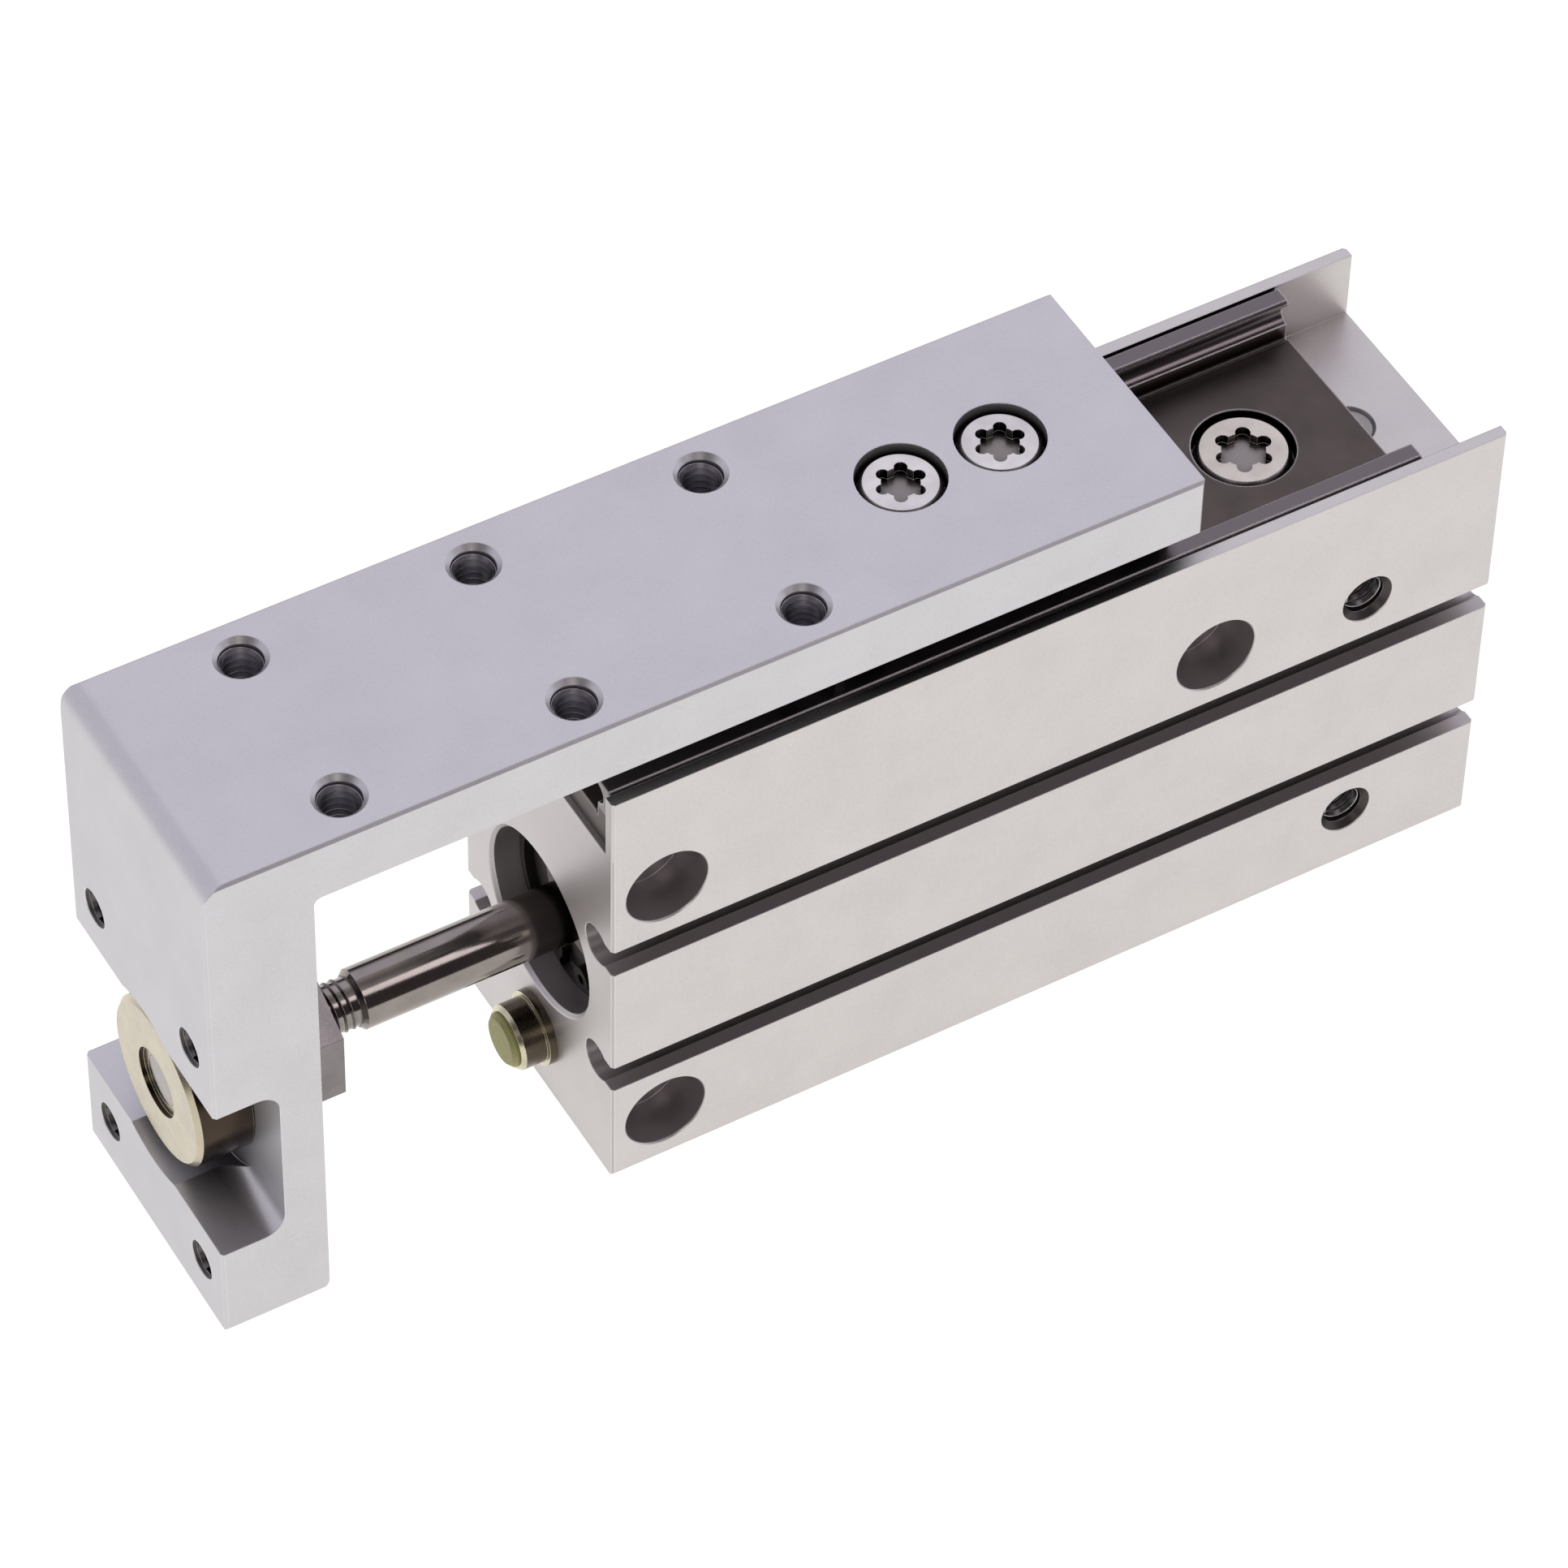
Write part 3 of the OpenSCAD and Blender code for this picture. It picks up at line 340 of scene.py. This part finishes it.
def yellow_zinc(name, colour, tint, side_shade):
    """Yellow chromated zinc: a pale straw metal that drifts towards another tint, with painted shade on its
    sides, where the faces turn away from the part's long axis."""
    material, tree, place = new_material(name)
    rounded, wear_and_highlight = soft_edges(tree, radius_mm=0.1)
    drift = noise(tree, place, size_mm=2.4, detail=3)
    grain = noise(tree, place, size_mm=0.14, detail=2, offset=4.0)
    tone = blend_colours(tree, spread(tree, drift, 0, 1), linear(colour), linear(tint))
    # the sides, whose faces turn away from the long axis, take a darker colour as painted shade
    facing = add_node(tree, "ShaderNodeTexCoord").outputs["Normal"]
    along = add_node(tree, "ShaderNodeSeparateXYZ", links={"Vector": facing}).outputs["X"]
    faced = add_node(tree, "ShaderNodeMath", {"operation": "ABSOLUTE"}, links={0: along}).outputs["Value"]
    tone = blend_colours(tree, spread(tree, faced, 0, 1, start=0.3, stop=0.6), linear(side_shade), tone)
    # painted shade in recesses
    tone = shade_recesses(tree, tone, reach_mm=2.0, dark=linear("#2a2418"), closed=0.1, clear=0.6)
    # lighter edges: partly wear, partly a painted highlight
    tone = blend_colours(tree, wear_and_highlight, tone, linear("#f7f2d2"))
    normal = bump(tree, grain, strength=0.2, depth_mm=0.01, normal=rounded)
    finish_material(tree, tone, normal, spread(tree, grain, 0.2, 0.3), wear_and_highlight)
    return material


def rubber(name, colour, lighter, roughness=0.55):
    """Moulded rubber or urethane: matt, slightly mottled, with a painted sheen lightening its edges."""
    material, tree, place = new_material(name)
    rounded, wear_and_highlight = soft_edges(tree, radius_mm=0.12)
    grain = noise(tree, place, size_mm=0.3, detail=3)
    tone = blend_colours(tree, spread(tree, grain, 0, 0.5), linear(colour), linear(lighter))
    # lighter edges: a painted sheen
    tone = blend_colours(tree, wear_and_highlight, tone, linear(lighter))
    normal = bump(tree, grain, strength=0.25, depth_mm=0.03, normal=rounded)
    finish_material(tree, tone, normal, spread(tree, grain, roughness - 0.06, roughness + 0.06),
                    values={"Metallic": 0.0, "IOR": 1.5})
    return material


# ---------------------------------------------------------------- sizes and colours a user would change

class SlideTableSizes(bpy.types.PropertyGroup):
    """Sizes of the threads, and the camera's lens"""
    table_thread_pitch: bpy.props.FloatProperty(
        name="Table thread pitch", description="Pitch of the threads in the table's top",
        default=0.8 * MM, unit="LENGTH", precision=5)
    plate_thread_pitch: bpy.props.FloatProperty(
        name="End plate thread pitch", description="Pitch of the threads in the end plate",
        default=0.7 * MM, unit="LENGTH", precision=5)
    port_thread_pitch: bpy.props.FloatProperty(
        name="Port thread pitch", description="Pitch of the threads in the air ports",
        default=0.8 * MM, unit="LENGTH", precision=5)
    rod_thread_pitch: bpy.props.FloatProperty(
        name="Rod thread pitch", description="Pitch of the thread on the rod's neck",
        default=0.8 * MM, unit="LENGTH", precision=5)
    rod_thread_length: bpy.props.FloatProperty(
        name="Rod thread length", description="Length of thread that shows behind the lock nut",
        default=3.4 * MM, unit="LENGTH", precision=5)
    lens: bpy.props.FloatProperty(
        name="Lens", description="Focal length of the camera on a 36 mm sensor", default=181.8, unit="CAMERA")


class SlideTableColours(bpy.types.PropertyGroup):
    """Colours of the pieces that show most, as sRGB hex"""
    body: bpy.props.StringProperty(
        name="Body", description="Colour of the anodised body", default="#d2cdcb")
    table: bpy.props.StringProperty(
        name="Table", description="Colour of the anodised table", default="#cfcdd0")
    rail: bpy.props.StringProperty(
        name="Rail", description="Colour of the guide rail", default="#5f5753")
    zinc: bpy.props.StringProperty(
        name="Zinc", description="Colour of the yellow zinc plating", default="#c6bca2")
    stop: bpy.props.StringProperty(
        name="Stop pad", description="Colour of the stop pad", default="#8e8c56")


# ---------------------------------------------------------------- helpers for pieces

def dress(material, *names):
    """Gives CAD nodes their material."""
    for name in names:
        slots = frame["nodes"][name].data.materials
        slots.clear()
        slots.append(material)


def select_only(obj):
    """Leaves one piece selected and active, in object mode."""
    if bpy.context.object and bpy.context.object.mode != "OBJECT":
        bpy.ops.object.mode_set(mode="OBJECT")
    bpy.ops.object.select_all(action="DESELECT")
    obj.select_set(True)
    bpy.context.view_layer.objects.active = obj


def settle(obj, body, material):
    """Puts a finished piece's place in its mesh, shades it and lets it ride on its body."""
    select_only(obj)
    bpy.ops.object.transform_apply(location=True, rotation=True, scale=True)
    bpy.ops.object.shade_smooth_by_angle(angle=math.radians(SMOOTH_DEGREES))
    obj.data.materials.clear()
    obj.data.materials.append(material)
    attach(obj, body)


def thread_ridge(name, wall_r, pitch, length, ridge):
    """The ridge of a thread along Z from 0 down: a three-sided section of radius ridge, turned along a helix
    at the wall of a hole or a neck."""
    bpy.ops.object.select_all(action="DESELECT")
    bpy.ops.mesh.primitive_circle_add(vertices=3, radius=ridge, fill_type="NOTHING",
                                      location=(wall_r - RIDGE_SINK * ridge, 0, -length),
                                      rotation=(math.pi / 2, 0, 0))
    made = bpy.context.object
    made.name = made.data.name = name
    made.scale = (1.0, RIDGE_SHARE * pitch / ridge / SECTION_HEIGHT, 1.0)
    bpy.ops.object.transform_apply(location=True, rotation=True, scale=True)
    screw = made.modifiers.new("helix", "SCREW")
    screw.axis = "Z"
    screw.angle = 2 * math.pi
    screw.screw_offset = pitch
    screw.iterations = max(1, int(length / pitch))
    screw.steps = screw.render_steps = TURN_STEPS
    screw.use_merge_vertices = True
    bpy.ops.object.modifier_apply(modifier="helix")
    bpy.ops.object.mode_set(mode="EDIT")
    bpy.ops.mesh.select_all(action="DESELECT")
    bpy.ops.mesh.select_mode(type="EDGE")
    bpy.ops.mesh.select_non_manifold()
    bpy.ops.mesh.fill()
    bpy.ops.mesh.select_all(action="SELECT")
    bpy.ops.mesh.normals_make_consistent(inside=False)
    bpy.ops.object.mode_set(mode="OBJECT")
    return made


def copy_to(source, name, matrix):
    """A copy of a piece with its own mesh, moved by a matrix."""
    made = source.copy()
    made.data = source.data.copy()
    made.name = made.data.name = name
    bpy.context.scene.collection.objects.link(made)
    made.matrix_world = matrix
    return made


def join_as(name, parts):
    """Joins like pieces into one object."""
    select_only(parts[0])
    for part in parts[1:]:
        part.select_set(True)
    bpy.ops.object.join()
    parts[0].name = parts[0].data.name = name
    return parts[0]


def mount(name):
    """A mount of the record by its name."""
    return next(m for m in frame["record"]["mounts"] if m["name"] == name)


def pattern_points(name):
    """The hole centres of a bolt pattern mount, in metres."""
    found = mount(name)
    axis = Vector(found["axis"])
    rows = [Vector(v) for v in ((1, 0, 0), (0, 1, 0), (0, 0, 1)) if abs(Vector(v).dot(axis)) < 0.5]
    dims = found["dims"]
    steps = [dims.get("spacing_x_mm"), dims.get("spacing_y_mm")]
    points = [Vector(found["pos_m"])]
    for row, step in zip(rows, steps):
        if step:
            points = [p + row * s * step * MM / 2 for p in points for s in (-1, 1)]
    return points


def boxes_about(centres, reach):
    """A box round each centre that reaches equally far to both sides."""
    return [(at - reach, at + reach) for at in centres]


# ---------------------------------------------------------------- operators: the CAD parts' finishes

class SLIDETABLE_OT_body(bpy.types.Operator):
    """Finish of the extruded body"""
    bl_idname = "slidetable.body"
    bl_label = "Body finish"

    def execute(self, context):
        colours = context.scene.slide_table_colours
        low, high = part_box("cylinder_body")
        skin = Vector((SKIN, SKIN, SKIN)) * MM
        below_rail = Vector((high.x, high.y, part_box("guide_rail")[0].z))
        walls_top = Vector((low.x, low.y, high.z))
        ports = [mount(name)["pos_m"] for name in PORTS]
        # the ports' countersinks are painted dark as shade
        shaded_mouths = [Vector((x, high.y - MOUTH_BELOW, z)) for x, _, z in ports]
        reach = Vector((PORT_MOUTH, MOUTH_DEPTH, PORT_MOUTH)) * MM
        dress(anodised_aluminium("body_anodised_aluminium", colours.body, "#f4f2f2", drawn=0.12,
                                 bored_shade=(low + skin, below_rail - skin),
                                 shaded_mouths=boxes_about(shaded_mouths, reach),
                                 rims=(walls_top - 3 * skin, high + 3 * skin)), "cylinder_body")
        return {"FINISHED"}


class SLIDETABLE_OT_table(bpy.types.Operator):
    """Finish of the table and its end plate"""
    bl_idname = "slidetable.table"
    bl_label = "Table finish"

    def execute(self, context):
        colours = context.scene.slide_table_colours
        # the end plate's countersinks are painted dark as shade
        shaded_mouths = [at - Vector((MOUTH_BELOW, 0, 0)) for at in pattern_points("end_plate_holes")]
        reach = Vector((MOUTH_DEPTH, PLATE_MOUTH, PLATE_MOUTH)) * MM
        dress(anodised_aluminium("table_anodised_aluminium", colours.table, "#f4f2f6",
                                 shaded_mouths=boxes_about(shaded_mouths, reach)), "table")
        return {"FINISHED"}


class SLIDETABLE_OT_guide(bpy.types.Operator):
    """Finishes of the rail, block, caps, scrapers and balls"""
    bl_idname = "slidetable.guide"
    bl_label = "Ball guide finish"

    def execute(self, context):
        colours = context.scene.slide_table_colours
        low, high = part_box("guide_block")
        dress(ground_rail("rail_ground_steel", colours.rail, "#70696b", high.y, low.z), "guide_rail")
        dress(turned_metal("block_ground_steel", "#8a888c", roughness=0.3, lines=0.2), "guide_block")
        dress(turned_metal("scraper_sheet_steel", "#8e8c8c", roughness=0.38), "block_scrapers")
        dress(turned_metal("ball_bearing_steel", "#dcdce0", roughness=0.1, depth=0.03), "guide_balls")
        dress(rubber("cap_moulded_resin", "#23302a", "#3a4a42", roughness=0.4), "block_end_caps")
        return {"FINISHED"}


class SLIDETABLE_OT_screws(bpy.types.Operator):
    """Finish of the star-recess screws"""
    bl_idname = "slidetable.screws"
    bl_label = "Screw finish"

    def sockets(self, node):
        """The box just under the faces of upright screws, down to the bottoms of their recesses."""
        low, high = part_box(node)
        return (Vector((low.x, low.y, high.z - SOCKET_BOTTOM)),
                Vector((high.x, high.y, high.z - SOCKET_TOP)))

    def execute(self, context):
        dress(turned_metal("screw_plated_steel", "#dedad8", roughness=0.28, edge="#f6f4f2",
                           sockets=self.sockets("table_screws")), "table_screws", "cap_screws")
        dress(turned_metal("screw_nickel_steel", "#d4ccc2", roughness=0.28, edge="#f6f0e6",
                           sockets=self.sockets("rail_screws")), "rail_screws")
        return {"FINISHED"}


class SLIDETABLE_OT_rod(bpy.types.Operator):
    """Finishes of the piston rod and its nuts"""
    bl_idname = "slidetable.rod"
    bl_label = "Rod finish"

    def execute(self, context):
        colours = context.scene.slide_table_colours
        dress(turned_metal("rod_hard_chrome", "#948d88", roughness=0.12, depth=0.04, edge="#d4d0ce"),
              "piston_rod")
        dress(turned_metal("lock_nut_black_oxide_steel", "#858080", roughness=0.24, edge="#3a3432"),
              "rod_lock_nut")
        # each zinc's last colour is the painted shade on its sides
        dress(yellow_zinc("nut_yellow_zinc", colours.zinc, "#b5ae9e", "#453b32"), "rod_nut")
        dress(yellow_zinc("stop_yellow_zinc", "#d8d2b8", "#c0bba0", "#665d50"), "stop_bolt")
        dress(rubber("pad_moulded_urethane", colours.stop, "#b9b878"), "stop_pad")
        return {"FINISHED"}


class SLIDETABLE_OT_cylinder(bpy.types.Operator):
    """Finishes of the covers, rings, seals and piston"""
    bl_idname = "slidetable.cylinder"
    bl_label = "Cylinder parts finish"

    def execute(self, context):
        dress(anodised_aluminium("cover_dark_anodised_aluminium", "#6e6865", "#8a8481"),
              "rod_cover", "head_cover")
        dress(anodised_aluminium("piston_turned_aluminium", "#bdbcc0", "#e8e8ea"), "piston")
        dress(turned_metal("ring_phosphated_spring_steel", "#46413e", roughness=0.45, edge="#5a5654"),
              "front_retaining_ring", "rear_retaining_ring")
        dress(turned_metal("plug_plain_steel", "#9c9a98", roughness=0.3), "gallery_plugs", "piston_nut")
        dress(turned_metal("bush_porous_bronze", "#a9854e", roughness=0.45, depth=0.5, edge="#d8b87c"),
              "rod_bush")
        dress(rubber("seal_nitrile_rubber", "#1b1b1c", "#2e2e30"), "rod_seal", "rod_cover_o_ring",
              "head_cover_o_ring", "piston_seal", "piston_cushions")
        dress(rubber("magnet_bonded_ferrite", "#2a2726", "#3c3836", roughness=0.5), "piston_magnet")
        dress(rubber("wear_ring_moulded_resin", "#ddd8c8", "#efeadc", roughness=0.45), "piston_wear_ring")
        return {"FINISHED"}


# ---------------------------------------------------------------- operators: new pieces

class SLIDETABLE_OT_table_threads(bpy.types.Operator):
    """Threads in the six holes of the table's top"""
    bl_idname = "slidetable.table_threads"
    bl_label = "Table threads"

    def execute(self, context):
        pitch = context.scene.slide_table_sizes.table_thread_pitch
        material = turned_metal("thread_cut_aluminium", "#b8b4bc", roughness=0.32, edge="#f0eef2")
        points = pattern_points("table_top_holes") + pattern_points("table_mid_holes")
        radius = mount("table_top_holes")["dims"]["hole_r_mm"] * MM
        ridge = thread_ridge("table_thread", radius, pitch, TABLE_THREAD_LENGTH, TABLE_THREAD_RIDGE)
        parts = [copy_to(ridge, f"table_thread_{i}", Matrix.Translation(p))
                 for i, p in enumerate(points)]
        bpy.data.objects.remove(ridge)
        settle(join_as("table_threads", parts), SLIDE, material)
        return {"FINISHED"}


class SLIDETABLE_OT_plate_threads(bpy.types.Operator):
    """Threads in the four holes of the end plate"""
    bl_idname = "slidetable.plate_threads"
    bl_label = "End plate threads"

    def execute(self, context):
        pitch = context.scene.slide_table_sizes.plate_thread_pitch
        # a dark grey that stands for painted shade inside the holes, with lighter crests
        material = turned_metal("plate_thread_aluminium_in_shade", "#6c686a", roughness=0.34, edge="#8c888a",
                                recess_mm=1.0)
        radius = mount("end_plate_holes")["dims"]["hole_r_mm"] * MM
        ridge = thread_ridge("plate_thread", radius, pitch, PLATE_THREAD_LENGTH, PLATE_THREAD_RIDGE)
        turn = Matrix.Rotation(math.pi / 2, 4, "Y")
        start = Vector((THREAD_START, 0, 0))
        parts = [copy_to(ridge, f"plate_thread_{i}", Matrix.Translation(p - start) @ turn)
                 for i, p in enumerate(pattern_points("end_plate_holes"))]
        bpy.data.objects.remove(ridge)
        settle(join_as("end_plate_threads", parts), SLIDE, material)
        return {"FINISHED"}


class SLIDETABLE_OT_port_threads(bpy.types.Operator):
    """Threads of the two air ports"""
    bl_idname = "slidetable.port_threads"
    bl_label = "Port threads"

    def execute(self, context):
        pitch = context.scene.slide_table_sizes.port_thread_pitch
        # a dark grey as painted shade inside the ports, and white crests as painted glints
        material = turned_metal("port_thread_aluminium_shade_glints", "#6c686a", roughness=0.34, edge="#ffffff",
                                edge_mm=0.17, recess_mm=0.4)
        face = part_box("cylinder_body")[1].y
        dims = mount("port_upper")["dims"]
        ridge = thread_ridge("port_thread", dims["r_mm"] * MM, pitch, dims["length_mm"] * MM,
                             PORT_THREAD_RIDGE)
        turn = Matrix.Rotation(-math.pi / 2, 4, "X")
        parts = []
        for name in PORTS:
            x, _, z = mount(name)["pos_m"]
            parts.append(copy_to(ridge, name + "_thread",
                                 Matrix.Translation((x, face - THREAD_START, z)) @ turn))
        bpy.data.objects.remove(ridge)
        settle(join_as("port_threads", parts), BODY, material)
        return {"FINISHED"}


class SLIDETABLE_OT_rod_thread(bpy.types.Operator):
    """Thread on the rod's neck behind the lock nut"""
    bl_idname = "slidetable.rod_thread"
    bl_label = "Rod thread"

    def execute(self, context):
        sizes = context.scene.slide_table_sizes
        material = turned_metal("thread_cut_steel", "#6a6462", roughness=0.2, edge="#d8d4d0")
        low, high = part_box("rod_lock_nut")
        rod_low, rod_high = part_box("piston_rod")
        neck_r = NECK_SHARE * (rod_high.z - rod_low.z) / 2
        ridge = thread_ridge("rod_thread", neck_r, sizes.rod_thread_pitch, sizes.rod_thread_length,
                             ROD_THREAD_RIDGE)
        turn = Matrix.Rotation(math.pi / 2, 4, "Y")
        centre = Vector((low.x + NUT_TO_THREAD, (low.y + high.y) / 2, (low.z + high.z) / 2))
        made = copy_to(ridge, "rod_neck_thread", Matrix.Translation(centre) @ turn)
        bpy.data.objects.remove(ridge)
        settle(made, SLIDE, material)
        return {"FINISHED"}


# ---------------------------------------------------------------- operator: stage

class SLIDETABLE_OT_stage(bpy.types.Operator):
    """Camera, pale floor and soft studio light"""
    bl_idname = "slidetable.stage"
    bl_label = "Stage"

    def execute(self, context):
        scene = context.scene
        self.camera(scene)
        self.floor()
        self.light(scene)
        return {"FINISHED"}

    def camera(self, scene):
        data = bpy.data.cameras.new("camera")
        data.sensor_width = SENSOR_WIDTH
        data.lens = scene.slide_table_sizes.lens
        data.clip_start, data.clip_end = CAMERA_NEAR, CAMERA_FAR
        camera = bpy.data.objects.new("camera", data)
        scene.collection.objects.link(camera)
        look = Vector(CAMERA_LOOK).normalized()
        up = Vector(CAMERA_RIGHT).normalized().cross(look).normalized()
        turned = Matrix((look.cross(up), up, -look)).transposed().to_4x4()
        camera.matrix_world = Matrix.Translation(CAMERA_PLACE) @ turned
        scene.camera = camera

    def floor(self):
        bpy.ops.object.select_all(action="DESELECT")
        bpy.ops.mesh.primitive_plane_add(size=FLOOR_SIZE, location=(0, 0, FLOOR_Z))
        floor = bpy.context.object
        floor.name = floor.data.name = "floor"
        material, tree, _ = new_material("floor_white_paper")
        paper = add_node(tree, "ShaderNodeBsdfDiffuse", values={"Color": linear("#707070")})
        glow = add_node(tree, "ShaderNodeEmission",
                        values={"Color": linear("#fffefc"), "Strength": FLOOR_GLOW})
        both = add_node(tree, "ShaderNodeAddShader",
                        links={0: paper.outputs["BSDF"], 1: glow.outputs["Emission"]})
        add_node(tree, "ShaderNodeOutputMaterial", links={"Surface": both.outputs["Shader"]})
        floor.data.materials.append(material)

    def light(self, scene):
        scene.view_settings.view_transform = "Standard"
        world = bpy.data.worlds.new("studio")
        scene.world = world
        world.use_nodes = True
        tree = world.node_tree
        tree.nodes.clear()
        place = add_node(tree, "ShaderNodeTexCoord").outputs["Generated"]
        part = add_node(tree, "ShaderNodeSeparateXYZ", links={"Vector": place}).outputs
        # a soft box stands where the level faces mirror it, one pale wall lies along -X and another along +X
        # and -Y; the rest of the room is dark, which gives polished metal its dark upper half
        aim = Vector(SOFT_BOX_AIM).normalized()
        facing = add_node(tree, "ShaderNodeVectorMath", {"operation": "DOT_PRODUCT"}, {1: aim}, {0: place})
        box = spread(tree, facing.outputs["Value"], 0, 1, *SOFT_BOX_FADE)
        rear_wall = add_node(tree, "ShaderNodeMath", {"operation": "MULTIPLY"},
                             links={0: spread(tree, part["X"], 0, REAR_WALL_LIGHT, *REAR_WALL_FADE),
                                    1: spread(tree, part["Y"], 1, 0, *REAR_WALL_SIDE_FADE)})
        front_wall = spread(tree, part["X"], 1, 0, *FRONT_WALL_FADE)
        walls = add_node(tree, "ShaderNodeMath", {"operation": "MAXIMUM"},
                         links={0: front_wall, 1: rear_wall.outputs["Value"]})
        lit = add_node(tree, "ShaderNodeMath", {"operation": "MAXIMUM"},
                       links={0: box, 1: walls.outputs["Value"]}).outputs["Value"]
        room = blend_colours(tree, lit, linear("#4e484a"), linear("#f0eefa"))
        sky = add_node(tree, "ShaderNodeBackground", values={"Strength": ROOM_STRENGTH},
                       links={"Color": room})
        add_node(tree, "ShaderNodeOutputWorld", links={"Surface": sky.outputs["Background"]})
        for name, place, size, power, colour in LAMPS:
            data = bpy.data.lights.new(name, "AREA")
            data.shape, data.size, data.energy = "SQUARE", size, power
            data.color = linear(colour)[:3]
            lamp = bpy.data.objects.new(name, data)
            scene.collection.objects.link(lamp)
            lamp.location = place
            lamp.rotation_euler = (Vector(LAMP_AIM) - lamp.location).to_track_quat("-Z", "Y").to_euler()


class SLIDETABLE_PT_panel(bpy.types.Panel):
    """Steps that dress the slide table"""
    bl_idname = "SLIDETABLE_PT_panel"
    bl_label = "Slide table"
    bl_space_type = "VIEW_3D"
    bl_region_type = "UI"
    bl_category = "Slide table"

    def draw(self, context):
        for group in (context.scene.slide_table_sizes, context.scene.slide_table_colours):
            for name in group.__annotations__:
                self.layout.prop(group, name)
        for step in STEPS:
            self.layout.operator(step.bl_idname)


STEPS = (
    SLIDETABLE_OT_body, SLIDETABLE_OT_table, SLIDETABLE_OT_guide, SLIDETABLE_OT_screws, SLIDETABLE_OT_rod,
    SLIDETABLE_OT_cylinder, SLIDETABLE_OT_table_threads, SLIDETABLE_OT_plate_threads,
    SLIDETABLE_OT_port_threads, SLIDETABLE_OT_rod_thread, SLIDETABLE_OT_stage,
)
CLASSES = (SlideTableSizes, SlideTableColours) + STEPS + (SLIDETABLE_PT_panel,)


def register():
    for cls in CLASSES:
        bpy.utils.register_class(cls)
    bpy.types.Scene.slide_table_sizes = bpy.props.PointerProperty(type=SlideTableSizes)
    bpy.types.Scene.slide_table_colours = bpy.props.PointerProperty(type=SlideTableColours)


def unregister():
    del bpy.types.Scene.slide_table_sizes
    del bpy.types.Scene.slide_table_colours
    for cls in reversed(CLASSES):
        bpy.utils.unregister_class(cls)


def main():
    register()
    for step in STEPS:
        family, name = step.bl_idname.split(".")
        getattr(getattr(bpy.ops, family), name)()


if __name__ == "__main__":
    main()
